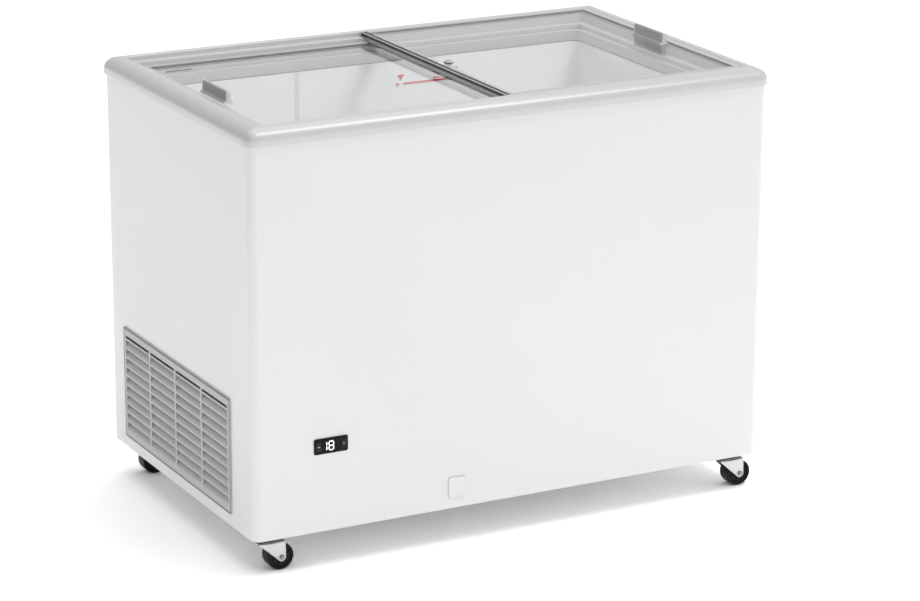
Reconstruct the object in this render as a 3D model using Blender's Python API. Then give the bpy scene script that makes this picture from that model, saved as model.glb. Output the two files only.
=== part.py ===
"""Chest freezer with two flat glass lids that slide past each other.

The origin is on the floor under the middle of the cabinet. X runs along the front from left to
right, Y from the front to the rear, and Z up. All lengths are in metres.
"""

import math

import bmesh
import bpy
from mathutils import Matrix, Vector

# ---------------------------------------------------------------- driving dimensions
CABINET_LENGTH = 1.040
CABINET_DEPTH = 0.645
FRAME_OVERHANG = 0.005
UNDERSIDE = 0.068
FRAME_BASE = 0.780
SHEET = 0.0010
CORNER_RADIUS = 0.017
REAR_FLANGE = 0.030
GAP = 0.0003

HALF_X = CABINET_LENGTH / 2
HALF_Y = CABINET_DEPTH / 2
FRAME_X = HALF_X + FRAME_OVERHANG
FRAME_Y = HALF_Y + FRAME_OVERHANG

# Frame rail section: offsets are inwards from its outer face, heights are above FRAME_BASE.
SKIRT_HEIGHT = 0.010
CREST_HEIGHT = 0.032
CREST_START = 0.029
CREST_END = 0.0345
UPPER_TRACK_WALL = 0.036
UPPER_TRACK = 0.023
LOWER_TRACK_WALL = 0.0535
LOWER_TRACK = 0.008
RAIL_INNER = 0.070
SKIRT_THICKNESS = 0.0045
SLOT_END = 0.009
SLOT_HEIGHT = 0.0075
FRAME_CORNER_RADIUS = CORNER_RADIUS + FRAME_OVERHANG

# Collar and tub, as offsets inwards from the frame's outer face.
COLLAR_OUTER = 0.0685
COLLAR_INNER = 0.079
COLLAR_BASE = 0.758
TUB_OUTER = 0.078
TUB_WALL = 0.002
TUB_FLOOR = 0.130
STEP_FACE_X = -0.150
STEP_FLOOR = 0.392
COIL_SPACE = 0.010

# Machine compartment at the left end, under the step in the tub.
MACHINE_RIGHT = -0.215
MACHINE_TOP = 0.320

# Lids. Heights are above FRAME_BASE.
GLASS = 0.004
UPPER_GLASS = 0.0255
LOWER_GLASS = 0.0105
TRIM_HEIGHT = 0.008
TRIM_WIDTH = 0.012
UPPER_TRIM_OUTER = 0.037
LOWER_TRIM_OUTER = 0.0545
END_PROFILE_WIDTH = 0.014
UPPER_LID_LEFT = -0.006
LOWER_LID_RIGHT = 0.012
SEAL_WIDTH = 0.010
HANDLE_INSET = 0.0315
HANDLE_Y = -0.008
HANDLE_LENGTH = 0.107
HANDLE_HEIGHT = 0.021
LOCK_X = 0.026
LOCK_Y = -0.008

# Casters.
CASTER_X = 0.477
CASTER_Y = 0.283
WHEEL_RADIUS = 0.025
WHEEL_WIDTH = 0.030
CASTER_TRAIL = 0.020

# Side grille, controller and drain cover.
GRILLE_Y = (-0.231, 0.253)
GRILLE_Z = (0.092, 0.308)
GRILLE_COLUMNS = 4
GRILLE_ROWS = 10
CONTROLLER = (-0.370, 0.2275)
CONTROLLER_SIZE = (0.066, 0.029)
DRAIN = (-0.120, 0.106)
DRAIN_SIZE = (0.034, 0.042)
DRAIN_HOLE_Y = -0.200


# ---------------------------------------------------------------- scene and materials
def clear_scene():
    for item in list(bpy.data.objects):
        bpy.data.objects.remove(item, do_unlink=True)


def material(name, colour, roughness, metallic=0.0, transmission=0.0):
    mat = bpy.data.materials.new(name)
    mat.use_nodes = True
    shader = mat.node_tree.nodes["Principled BSDF"]
    shader.inputs["Base Color"].default_value = (*colour, 1.0)
    shader.inputs["Roughness"].default_value = roughness
    shader.inputs["Metallic"].default_value = metallic
    shader.inputs["Transmission Weight"].default_value = transmission
    return mat


def make_materials():
    return {
        "white_paint": material("white_paint", (0.88, 0.88, 0.88), 0.35),
        "tub_white": material("tub_white", (0.84, 0.85, 0.85), 0.45),
        "frame_grey": material("frame_grey", (0.66, 0.67, 0.67), 0.35),
        "collar_grey": material("collar_grey", (0.60, 0.61, 0.61), 0.45),
        "grille_grey": material("grille_grey", (0.52, 0.53, 0.53), 0.5),
        "handle_grey": material("handle_grey", (0.62, 0.63, 0.63), 0.35),
        "aluminium": material("aluminium", (0.75, 0.76, 0.77), 0.3, 1.0),
        "trim_grey": material("trim_grey", (0.55, 0.56, 0.56), 0.45),
        "seal_black": material("seal_black", (0.06, 0.06, 0.06), 0.7),
        "glass": material("glass", (0.9, 0.95, 0.94), 0.02, 0.0, 1.0),
        "black_gloss": material("black_gloss", (0.02, 0.02, 0.022), 0.15),
        "black_plastic": material("black_plastic", (0.03, 0.03, 0.03), 0.5),
        "zinc": material("zinc", (0.72, 0.73, 0.74), 0.3, 1.0),
        "steel": material("steel", (0.45, 0.46, 0.47), 0.35, 1.0),
        "copper": material("copper", (0.72, 0.42, 0.27), 0.3, 1.0),
        "foam": material("foam", (0.86, 0.78, 0.55), 0.9),
        "wheel_black": material("wheel_black", (0.03, 0.03, 0.03), 0.45),
    }


# ---------------------------------------------------------------- modelling helpers
def add_object(name, bm, mat, location=(0, 0, 0), parent=None, smooth=False):
    """Turn a bmesh into a named object whose faces point out."""
    bmesh.ops.recalc_face_normals(bm, faces=bm.faces)
    mesh = bpy.data.meshes.new(name)
    bm.to_mesh(mesh)
    bm.free()
    if mat is not None:
        mesh.materials.append(mat)
    if smooth:
        mesh.shade_smooth()
        mesh.set_sharp_from_angle(angle=math.radians(35))
    item = bpy.data.objects.new(name, mesh)
    bpy.context.collection.objects.link(item)
    place(item, location, parent)
    return item


def place(item, location, parent):
    """Put an object at a world location, under its parent empty where it has one."""
    if parent is None:
        item.location = location
    else:
        item.parent = parent
        item.location = Vector(location) - parent_location(parent)


def parent_location(parent):
    place_at = Vector(parent.location)
    if parent.parent is not None:
        place_at += parent_location(parent.parent)
    return place_at


def pivot(name, location, parent=None):
    """An empty on a joint's axis, which carries the pieces of one moving body."""
    empty = bpy.data.objects.new(name, None)
    empty.empty_display_size = 0.03
    bpy.context.collection.objects.link(empty)
    place(empty, location, parent)
    return empty


def box(name, low, high, mat, parent=None):
    """A box between two world corners, with its origin at its centre."""
    low, high = Vector(low), Vector(high)
    bm = bmesh.new()
    bmesh.ops.create_cube(bm, size=1.0)
    bmesh.ops.scale(bm, vec=high - low, verts=bm.verts)
    return add_object(name, bm, mat, (low + high) / 2, parent)


def prism(name, outline, axis, start, end, mat, parent=None, origin=(0, 0, 0)):
    """Extrude a flat outline along X, Y or Z.

    The outline's pairs are (y, z) along X, (x, z) along Y and (x, y) along Z.
    """
    def corner(pair, along):
        if axis == "X":
            return (along, pair[0], pair[1])
        if axis == "Y":
            return (pair[0], along, pair[1])
        return (pair[0], pair[1], along)

    bm = bmesh.new()
    offset = Vector(origin)
    rings = [[bm.verts.new(Vector(corner(p, along)) - offset) for p in outline] for along in (start, end)]
    bm.faces.new(rings[0])
    bm.faces.new(reversed(rings[1]))
    count = len(outline)
    for i in range(count):
        j = (i + 1) % count
        bm.faces.new((rings[0][i], rings[0][j], rings[1][j], rings[1][i]))
    return add_object(name, bm, mat, origin, parent)


def turned(name, profile, segments, axis, centre, mat, parent=None, ring=False, phase=0.0):
    """Turn a profile of (radius, along) pairs about an axis through centre.

    A ring profile joins its last point to its first; any other starts and ends at radius 0.
    """
    turn = {"X": Matrix.Rotation(math.pi / 2, 3, "Y"),
            "Y": Matrix.Rotation(-math.pi / 2, 3, "X"),
            "Z": Matrix.Identity(3)}[axis]
    bm = bmesh.new()
    rows = []
    for radius, along in profile:
        if radius == 0:
            rows.append([bm.verts.new(turn @ Vector((0, 0, along)))])
            continue
        row = []
        for step in range(segments):
            angle = phase + 2 * math.pi * step / segments
            spot = Vector((radius * math.cos(angle), radius * math.sin(angle), along))
            row.append(bm.verts.new(turn @ spot))
        rows.append(row)
    pairs = list(zip(rows, rows[1:]))
    if ring:
        pairs.append((rows[-1], rows[0]))
    for first, second in pairs:
        for i in range(segments):
            j = (i + 1) % segments
            corners = [first[i % len(first)], first[j % len(first)],
                       second[j % len(second)], second[i % len(second)]]
            unique = list(dict.fromkeys(corners))
            if len(unique) > 2:
                bm.faces.new(unique)
    return add_object(name, bm, mat, centre, parent, smooth=True)


def cylinder_profile(radius, start, end):
    return [(0, start), (radius, start), (radius, end), (0, end)]


def tube(name, points, radius, mat, sides_step=1, parent=None):
    """A solid tube along points, as a bevelled curve turned into a closed mesh."""
    curve = bpy.data.curves.new(name, "CURVE")
    curve.dimensions = "3D"
    curve.bevel_depth = radius
    curve.bevel_resolution = sides_step
    curve.use_fill_caps = True
    spline = curve.splines.new("POLY")
    spline.points.add(len(points) - 1)
    for point, spot in zip(spline.points, points):
        point.co = (*spot, 1.0)
    item = bpy.data.objects.new(name, curve)
    curve.materials.append(mat)
    bpy.context.collection.objects.link(item)
    place(item, (0, 0, 0), parent)
    return item


def arc(centre, radius, start, end, steps):
    """Points of a flat arc, with angles in degrees."""
    points = []
    for step in range(steps + 1):
        angle = math.radians(start + (end - start) * step / steps)
        points.append((centre[0] + radius * math.cos(angle), centre[1] + radius * math.sin(angle)))
    return points


def rounded_path(corners, radius, steps):
    """A route through 3D corners whose bends are arcs, for a pipe."""
    route = [Vector(corners[0])]
    for before, corner, after in zip(corners, corners[1:], corners[2:]):
        corner = Vector(corner)
        back = (Vector(before) - corner).normalized()
        ahead = (Vector(after) - corner).normalized()
        half = back.angle(ahead) / 2
        reach = radius / math.tan(half)
        centre = corner + (back + ahead).normalized() * (radius / math.sin(half))
        first = (corner + back * reach - centre).normalized()
        last = (corner + ahead * reach - centre).normalized()
        for step in range(steps + 1):
            route.append(centre + first.slerp(last, step / steps) * radius)
    route.append(Vector(corners[-1]))
    return route


def cut(item, cutter):
    """Cut one object with another, which stays in the file as a wire guide."""
    cutter.hide_render = True
    cutter.display_type = "WIRE"
    change = item.modifiers.new("cut_" + cutter.name, "BOOLEAN")
    change.operation = "DIFFERENCE"
    change.solver = "EXACT"
    change.object = cutter


def joined(cutter, others):
    """Join several cutters that don't meet into one mesh, so that they cut in one step."""
    bm = bmesh.new()
    for item in [cutter, *others]:
        part = bmesh.new()
        part.from_mesh(item.data)
        part.transform(Matrix.Translation(item.location))
        mesh = bpy.data.meshes.new("piece")
        part.to_mesh(mesh)
        part.free()
        bm.from_mesh(mesh)
        bpy.data.meshes.remove(mesh)
    name = cutter.name
    for item in [cutter, *others]:
        bpy.data.objects.remove(item, do_unlink=True)
    return add_object(name, bm, None)


# ---------------------------------------------------------------- cabinet
def plan_outline(inset, steps):
    """The cabinet in plan, set in from the outside of the sheet, from the rear left corner on."""
    x, y = HALF_X - CORNER_RADIUS, HALF_Y - CORNER_RADIUS
    radius = CORNER_RADIUS - inset
    corners = ((-x, y, 90), (-x, -y, 180), (x, -y, 270), (x, y, 0))
    return [spot for cx, cy, start in corners for spot in arc((cx, cy), radius, start, start + 90, steps)]


def make_outer_shell(mats):
    """One sheet round the front and both sides, which ends in a flange on the rear."""
    flange = HALF_X - REAR_FLANGE
    wrap = []
    for inset in (0, SHEET):
        wrap.append([(-flange, HALF_Y - inset), *plan_outline(inset, 6), (flange, HALF_Y - inset)])
    top = FRAME_BASE + SLOT_HEIGHT - 2 * GAP
    shell = prism("outer_shell", wrap[0] + wrap[1][::-1], "Z", UNDERSIDE, top, mats["white_paint"])

    margin = 0.007
    grille_hole = box("grille_hole",
                      (-HALF_X - 0.01, GRILLE_Y[0] + margin, GRILLE_Z[0] + margin),
                      (-HALF_X + 0.01, GRILLE_Y[1] - margin, GRILLE_Z[1] - margin), None)
    display_hole = box("display_hole",
                       (CONTROLLER[0] - 0.030, -HALF_Y - 0.01, CONTROLLER[1] - 0.0125),
                       (CONTROLLER[0] + 0.030, -HALF_Y + 0.01, CONTROLLER[1] + 0.0125), None)
    drain_hole = turned("drain_hole", cylinder_profile(0.009, -0.01, 0.01), 16, "Y",
                        (DRAIN[0], -HALF_Y, DRAIN[1]), None)
    cut(shell, joined(grille_hole, [display_hole, drain_hole]))


def make_rear_panel(mats):
    half = HALF_X - REAR_FLANGE - GAP
    panel = box("rear_panel", (-half, HALF_Y - SHEET, UNDERSIDE),
                (half, HALF_Y, FRAME_BASE + SLOT_HEIGHT - 2 * GAP), mats["white_paint"])
    slots = []
    for row in range(8):
        height = 0.120 + 0.022 * row
        slots.append(box(f"rear_slot_{row}", (-0.46, HALF_Y - 0.01, height),
                         (-0.26, HALF_Y + 0.01, height + 0.008), None))
    gland_hole = turned("gland_hole", cylinder_profile(0.0093, -0.01, 0.01), 16, "Y",
                        (-0.240, HALF_Y, 0.105), None)
    cut(panel, joined(gland_hole, slots))


def make_base_pan(mats):
    prism("base_pan", plan_outline(SHEET + GAP, 4), "Z", UNDERSIDE, UNDERSIDE + 0.002, mats["zinc"])


def tub_outline(offset, floor, step_x, step_floor, top):
    """Side view of the tub, (x, z): a deep well on the right and a step on the left."""
    half = FRAME_X - offset
    return [(-half, top), (-half, step_floor), (step_x, step_floor), (step_x, floor), (half, floor), (half, top)]


def make_foam(mats):
    foam = prism("insulation_foam", plan_outline(SHEET + 0.0005, 4), "Z", UNDERSIDE + 0.0025,
                 FRAME_BASE - 0.0005, mats["foam"])
    machine = box("machine_room", (-HALF_X - 0.1, -HALF_Y - 0.1, UNDERSIDE - 0.1),
                  (MACHINE_RIGHT, HALF_Y + 0.1, MACHINE_TOP), None)
    cut(foam, machine)
    wall = TUB_OUTER - COIL_SPACE
    drop = TUB_WALL + COIL_SPACE
    well = prism("foam_well",
                 tub_outline(wall, TUB_FLOOR - drop, STEP_FACE_X - drop, STEP_FLOOR - drop, FRAME_BASE + 0.1),
                 "Y", -(FRAME_Y - wall), FRAME_Y - wall, None)
    cut(foam, well)
    channel = box("drain_channel", (DRAIN[0] - 0.012, -HALF_Y - 0.02, DRAIN[1] - 0.012),
                  (DRAIN[0] + 0.012, DRAIN_HOLE_Y + 0.012, TUB_FLOOR), None)
    cut(foam, channel)


def make_tub(mats):
    top = COLLAR_BASE - GAP
    tub = prism("inner_liner",
                tub_outline(TUB_OUTER, TUB_FLOOR - TUB_WALL, STEP_FACE_X - TUB_WALL, STEP_FLOOR - TUB_WALL, top),
                "Y", -(FRAME_Y - TUB_OUTER), FRAME_Y - TUB_OUTER, mats["tub_white"])
    inside = TUB_OUTER + TUB_WALL
    hollow = prism("tub_hollow", tub_outline(inside, TUB_FLOOR, STEP_FACE_X, STEP_FLOOR, top + 0.1),
                   "Y", -(FRAME_Y - inside), FRAME_Y - inside, None)
    cut(tub, hollow)
    drain = turned("tub_drain_hole", cylinder_profile(0.008, -0.02, 0.02), 16, "Z",
                   (DRAIN[0], DRAIN_HOLE_Y, TUB_FLOOR), None)
    cut(tub, drain)


def rectangle(half_x, half_y):
    return [(-half_x, -half_y), (half_x, -half_y), (half_x, half_y), (-half_x, half_y)]


def make_collar(mats):
    """A ring of plastic between the tub's rim and the rails."""
    outline = rectangle(FRAME_X - COLLAR_OUTER, FRAME_Y - COLLAR_OUTER)
    collar = prism("tub_collar", outline, "Z", COLLAR_BASE, FRAME_BASE - GAP, mats["collar_grey"])
    hole = prism("collar_hole", rectangle(FRAME_X - COLLAR_INNER, FRAME_Y - COLLAR_INNER), "Z",
                 COLLAR_BASE - 0.1, FRAME_BASE + 0.1, None)
    cut(collar, hole)


def rail_section():
    """Outline of a frame rail, as (inward offset, height) pairs from the outer bottom edge."""
    rise = CREST_HEIGHT - SKIRT_HEIGHT
    steps = 7
    crown = []
    for step in range(steps + 1):
        angle = math.pi / 2 * step / steps
        crown.append((CREST_START * (1 - math.cos(angle)), SKIRT_HEIGHT + rise * math.sin(angle)))
    return [(0, 0), *crown, (CREST_END, CREST_HEIGHT), (UPPER_TRACK_WALL, CREST_HEIGHT - 0.002),
            (UPPER_TRACK_WALL, UPPER_TRACK), (LOWER_TRACK_WALL, UPPER_TRACK),
            (LOWER_TRACK_WALL, LOWER_TRACK), (RAIL_INNER, LOWER_TRACK), (RAIL_INNER, 0),
            (SLOT_END, 0), (SLOT_END, SLOT_HEIGHT), (SKIRT_THICKNESS, SLOT_HEIGHT), (SKIRT_THICKNESS, 0)]


def make_rail(name, angle, half_length, half_depth, mats):
    """One rail of the frame, drawn as the front rail and turned to its side of the cabinet.

    Its ends are mitred at 45 degrees, and its outer corners are rounded in plan.
    """
    mitre_gap = GAP / 2
    smallest = 0.001
    steps = 3
    section = rail_section()
    bm = bmesh.new()
    rows = []
    for offset, height in section:
        radius = max(FRAME_CORNER_RADIUS - offset, smallest)
        edge_x, edge_y = half_length - offset, -(half_depth - offset)
        right = arc((edge_x - radius, edge_y + radius), radius, 270, 315, steps)
        right[-1] = (right[-1][0] - mitre_gap, right[-1][1])
        left = [(-x, y) for x, y in reversed(right)]
        rows.append([bm.verts.new((x, y, height)) for x, y in left + right])
    count = len(rows)
    for i in range(count):
        first, second = rows[i], rows[(i + 1) % count]
        for k in range(len(first) - 1):
            bm.faces.new((first[k], first[k + 1], second[k + 1], second[k]))
    bm.faces.new([row[0] for row in rows])
    bm.faces.new([row[-1] for row in reversed(rows)])
    rail = add_object(name, bm, mats["frame_grey"], (0, 0, FRAME_BASE), smooth=True)
    rail.rotation_euler = (0, 0, math.radians(angle))


def make_frame(mats):
    make_rail("frame_front", 0, FRAME_X, FRAME_Y, mats)
    make_rail("frame_right", 90, FRAME_Y, FRAME_X, mats)
    make_rail("frame_rear", 180, FRAME_X, FRAME_Y, mats)
    make_rail("frame_left", 270, FRAME_Y, FRAME_X, mats)


# ---------------------------------------------------------------- lids
def channel_outline(width, height, glass_depth):
    """Section of a U-shaped edge trim round a pane: (across, up) from the pane's underside.

    The closed side is at across = 0 and the mouth is at across = width.
    """
    lip = (height - GLASS) / 2
    slot = width - glass_depth
    return [(0, -lip), (width, -lip), (width, -GAP), (slot, -GAP),
            (slot, GLASS + GAP), (width, GLASS + GAP), (width, GLASS + lip), (0, GLASS + lip)]


def make_trim(name, lid, side, mats):
    """The front or rear edge trim of a lid, along X. side is -1 at the front and 1 at the rear."""
    outer = FRAME_Y - lid["trim_outer"]
    outline = [(side * (outer - across), lid["glass"] + up)
               for across, up in channel_outline(TRIM_WIDTH, TRIM_HEIGHT, TRIM_WIDTH - 0.002)]
    prism(name, outline, "X", lid["left"], lid["right"], mats["trim_grey"], lid["pivot"])


def make_end_profile(name, lid, mats):
    """The profile along a lid's outer end, between its two edge trims."""
    half = FRAME_Y - lid["trim_outer"] - TRIM_WIDTH - GAP
    outline = [(lid["outer"] - lid["side"] * across, lid["glass"] + up)
               for across, up in channel_outline(END_PROFILE_WIDTH, TRIM_HEIGHT, END_PROFILE_WIDTH - 0.002)]
    prism(name, outline, "Y", -half, half, mats["aluminium"], lid["pivot"])


def make_upper_seal(lid, mats):
    """The right lid's inner end: a channel with a skirt that hangs towards the lower pane."""
    half = FRAME_Y - LOWER_TRACK_WALL - 0.0015
    glass, left = lid["glass"], lid["left"]
    skirt = FRAME_BASE + 0.0175
    outline = [(left, skirt), (left + 0.0018, skirt), (left + 0.0018, glass - 0.002),
               (left + SEAL_WIDTH, glass - 0.002), (left + SEAL_WIDTH, glass - GAP),
               (left + 0.002, glass - GAP), (left + 0.002, glass + GLASS + GAP),
               (left + SEAL_WIDTH, glass + GLASS + GAP), (left + SEAL_WIDTH, glass + GLASS + 0.002),
               (left, glass + GLASS + 0.002)]
    prism("right_lid_seal_profile", outline, "Y", -half, half, mats["seal_black"], lid["pivot"])


def make_lower_seal(lid, mats):
    """The left lid's inner end, and the striker on it that the lock's cam meets when it is turned."""
    half = FRAME_Y - lid["trim_outer"] - TRIM_WIDTH - GAP
    right = lid["right"]
    outline = [(right - across, lid["glass"] + up)
               for across, up in channel_outline(SEAL_WIDTH, TRIM_HEIGHT, SEAL_WIDTH - 0.002)]
    prism("left_lid_seal_profile", outline, "Y", -half, half, mats["seal_black"], lid["pivot"])
    top = lid["glass"] + GLASS + (TRIM_HEIGHT - GLASS) / 2 + GAP
    box("lock_striker", (right - SEAL_WIDTH, LOCK_Y + 0.0085, top), (right, LOCK_Y + 0.0205, top + 0.006),
        mats["zinc"], lid["pivot"])


def handle_outline(centre_x, base):
    """Section of a handle: a thick upright fin that flares into a flat foot."""
    fin, foot, foot_height, flare = 0.00425, 0.009, 0.0022, 0.0042
    right = [(foot, 0), (foot, 0.0015), (foot - 0.001, foot_height)]
    right += [(fin + flare * (1 - math.sin(a)), foot_height + flare * (1 - math.cos(a)))
              for a in (math.radians(d) for d in (30, 60, 90))]
    right += [(fin, HANDLE_HEIGHT - 0.003), (fin - 0.0009, HANDLE_HEIGHT - 0.0009), (fin - 0.003, HANDLE_HEIGHT)]
    mirrored = [(-x, z) for x, z in reversed(right)]
    return [(centre_x + x, base + z) for x, z in right + mirrored]


def make_handle(name, lid, mats):
    centre_x = lid["outer"] - lid["side"] * HANDLE_INSET
    outline = handle_outline(centre_x, lid["glass"] + GLASS + GAP)
    prism(name, outline, "Y", HANDLE_Y - HANDLE_LENGTH / 2, HANDLE_Y + HANDLE_LENGTH / 2,
          mats["handle_grey"], lid["pivot"])


def make_pane(name, lid, mats):
    edge = 0.002 + GAP
    half = FRAME_Y - lid["trim_outer"] - edge
    return box(name, (lid["left"] + edge, -half, lid["glass"]),
               (lid["right"] - edge, half, lid["glass"] + GLASS), mats["glass"], lid["pivot"])


def make_lids(mats):
    low = {"glass": FRAME_BASE + LOWER_GLASS, "trim_outer": LOWER_TRIM_OUTER, "side": -1,
           "left": -(FRAME_X - LOWER_TRIM_OUTER), "right": LOWER_LID_RIGHT}
    high = {"glass": FRAME_BASE + UPPER_GLASS, "trim_outer": UPPER_TRIM_OUTER, "side": 1,
            "left": UPPER_LID_LEFT, "right": FRAME_X - UPPER_TRIM_OUTER}
    low["outer"], high["outer"] = low["left"], high["right"]
    for side_name, lid in (("left", low), ("right", high)):
        middle = (lid["left"] + lid["right"]) / 2
        lid["pivot"] = pivot(f"{side_name}_lid_slide", (middle, 0, lid["glass"]))
        make_pane(f"{side_name}_lid_glass", lid, mats)
        make_trim(f"{side_name}_lid_front_trim", lid, -1, mats)
        make_trim(f"{side_name}_lid_rear_trim", lid, 1, mats)
        make_end_profile(f"{side_name}_lid_end_profile", lid, mats)
        make_handle(f"{side_name}_lid_handle", lid, mats)
    make_lower_seal(low, mats)
    make_upper_seal(high, mats)
    make_lock(high, mats)


def make_lock(lid, mats):
    """A quarter-turn lock through the upper pane: a barrel, and a cam that the key turns."""
    top = lid["glass"] + GLASS
    hole = turned("lock_hole", cylinder_profile(0.0068, -0.01, 0.01), 16, "Z",
                  (LOCK_X, LOCK_Y, lid["glass"]), None)
    cut(bpy.data.objects["right_lid_glass"], hole)
    barrel = [(0.0045, -GLASS - 0.0010), (0.0065, -GLASS - 0.0010), (0.0065, GAP), (0.0100, GAP),
              (0.0100, 0.0045), (0.0085, 0.0060), (0.0045, 0.0060)]
    turned("lid_lock_barrel", barrel, 16, "Z", (LOCK_X, LOCK_Y, top), mats["zinc"], lid["pivot"], ring=True)

    cam_pivot = pivot("lock_turn", (LOCK_X, LOCK_Y, top), lid["pivot"])
    arm = box("lid_lock_cam", (LOCK_X - 0.004, LOCK_Y - 0.004, FRAME_BASE + 0.0185),
              (LOCK_X + 0.020, LOCK_Y + 0.004, FRAME_BASE + 0.0205), mats["zinc"], cam_pivot)
    plug = turned("lock_plug", cylinder_profile(0.0041, FRAME_BASE + 0.0190 - top, 0.0055), 16, "Z",
                  (LOCK_X, LOCK_Y, top), None)
    plug.hide_render = True
    plug.display_type = "WIRE"
    union = arm.modifiers.new("plug", "BOOLEAN")
    union.operation = "UNION"
    union.solver = "EXACT"
    union.object = plug
    key_slot = box("key_slot", (LOCK_X - 0.0030, LOCK_Y - 0.0006, top + 0.003),
                   (LOCK_X + 0.0030, LOCK_Y + 0.0006, top + 0.010), None)
    cut(arm, key_slot)


# ---------------------------------------------------------------- front and side fittings
def make_grille(mats):
    """The side grille: a flanged plate with a row of open slots above rows of sloped louvres."""
    outer, back = -HALF_X - 0.003, -HALF_X + 0.006
    y0, y1 = GRILLE_Y
    z0, z1 = GRILLE_Z
    margin = 0.008
    flange_back = -HALF_X - GAP
    section = [(outer, z0), (flange_back, z0), (flange_back, z0 + margin), (back, z0 + margin),
               (back, z1 - margin), (flange_back, z1 - margin), (flange_back, z1), (outer, z1)]
    grille = prism("side_grille", section, "Y", y0, y1, mats["grille_grey"])
    for name, start, end in (("front", y0 - 0.01, y0 + margin), ("rear", y1 - margin, y1 + 0.01)):
        trim = box(f"grille_{name}_step", (flange_back, start, z0 - 0.01), (back + 0.01, end, z1 + 0.01), None)
        cut(grille, trim)

    pitch = (z1 - z0 - 0.034) / (GRILLE_ROWS + 1)
    top_row = z1 - 0.016
    bar = 0.007
    edge = 0.011
    width = (y1 - y0 - 2 * edge - (GRILLE_COLUMNS - 1) * bar) / GRILLE_COLUMNS
    cutters = []
    for column in range(GRILLE_COLUMNS):
        start = y0 + edge + column * (width + bar)
        cutters.append(box(f"slot_{column}", (outer - 0.01, start, top_row - 0.006),
                           (back + 0.01, start + width, top_row), None))
        for row in range(GRILLE_ROWS):
            high = top_row - pitch * (row + 1) + 0.004
            wedge = [(outer - 0.001, high), (back + 0.001, high), (back + 0.001, high - 0.003),
                     (outer + 0.0055, high - 0.003), (outer - 0.001, high - pitch + 0.0045)]
            cutters.append(prism(f"louvre_{column}_{row}", wedge, "Y", start, start + width, None))
    cut(grille, joined(cutters[0], cutters[1:]))


def make_controller(mats):
    x, z = CONTROLLER
    half_x, half_z = CONTROLLER_SIZE[0] / 2, CONTROLLER_SIZE[1] / 2
    front, back = -HALF_Y - 0.0022, -HALF_Y - GAP
    radius = 0.003
    outline = []
    for cx, cz, start in ((1, 1, 0), (-1, 1, 90), (-1, -1, 180), (1, -1, 270)):
        centre = (x + cx * (half_x - radius), z + cz * (half_z - radius))
        outline += arc(centre, radius, start, start + 90, 3)
    bezel = prism("controller_bezel", outline, "Y", front, back, mats["black_gloss"], origin=(x, front, z))
    key_half, key_x = (0.0045, 0.0075), 0.0245
    keys = []
    for side, name in ((-1, "set"), (1, "up")):
        centre = x + side * key_x
        keys.append(box(f"key_window_{name}", (centre - key_half[0], front - 0.01, z - key_half[1]),
                        (centre + key_half[0], back + 0.01, z + key_half[1]), None))
        empty = pivot(f"{name}_key_press", (centre, front, z))
        box(f"{name}_key", (centre - key_half[0] + GAP, front - 0.0007, z - key_half[1] + GAP),
            (centre + key_half[0] - GAP, back - 0.0008, z + key_half[1] - GAP), mats["black_plastic"], empty)
    cut(bezel, joined(keys[0], keys[1:]))
    box("control_module", (x - 0.029, -HALF_Y + 0.0006, z - 0.0115), (x + 0.029, -HALF_Y + 0.045, z + 0.0115),
        mats["black_plastic"])


def make_drain_cover(mats):
    x, z = DRAIN
    half_x, half_z = DRAIN_SIZE[0] / 2, DRAIN_SIZE[1] / 2
    chamfer = 0.004
    outline = [(x - half_x, z - half_z + chamfer), (x - half_x + chamfer, z - half_z),
               (x + half_x - chamfer, z - half_z), (x + half_x, z - half_z + chamfer),
               (x + half_x, z + half_z), (x - half_x, z + half_z)]
    front, back = -HALF_Y - 0.0035, -HALF_Y - GAP
    empty = pivot("drain_cover_pull", (x, back, z))
    cover = prism("drain_cover", outline, "Y", front, back, mats["white_paint"], empty, origin=(x, back, z))
    spigot = turned("drain_spigot", cylinder_profile(0.0080, -0.001, 0.012), 16, "Y", (x, back, z), None)
    spigot.hide_render = True
    spigot.display_type = "WIRE"
    union = cover.modifiers.new("spigot", "BOOLEAN")
    union.operation = "UNION"
    union.solver = "EXACT"
    union.object = spigot
    pocket = box("drain_finger_pocket", (x - 0.012, front - 0.01, z - half_z + 0.003),
                 (x + 0.012, front + 0.0015, z + half_z - 0.006), None)
    cut(cover, pocket)


def make_drain(mats):
    """The plug in the tub floor, and the tube from under it to the front."""
    x, z = DRAIN
    empty = pivot("drain_plug_lift", (x, DRAIN_HOLE_Y, TUB_FLOOR))
    plug = [(0, -0.004), (0.0070, -0.004), (0.0075, GAP), (0.0130, GAP), (0.0130, 0.0030),
            (0.0100, 0.0045), (0, 0.0045)]
    turned("drain_plug", plug, 16, "Z", (x, DRAIN_HOLE_Y, TUB_FLOOR), mats["black_plastic"], empty)
    route = rounded_path([(x, DRAIN_HOLE_Y, TUB_FLOOR - 0.005), (x, DRAIN_HOLE_Y, z), (x, -HALF_Y + 0.016, z)],
                         0.012, 4)
    tube("drain_tube", route, 0.006, mats["tub_white"], 2)


def make_cable_gland(mats):
    gland = [(0, -0.014), (0.0090, -0.014), (0.0090, GAP), (0.0125, GAP), (0.0125, 0.0030), (0.0100, 0.0045),
             (0, 0.0045)]
    turned("cable_gland", gland, 16, "Y", (-0.240, HALF_Y, 0.105), mats["black_plastic"])


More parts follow.
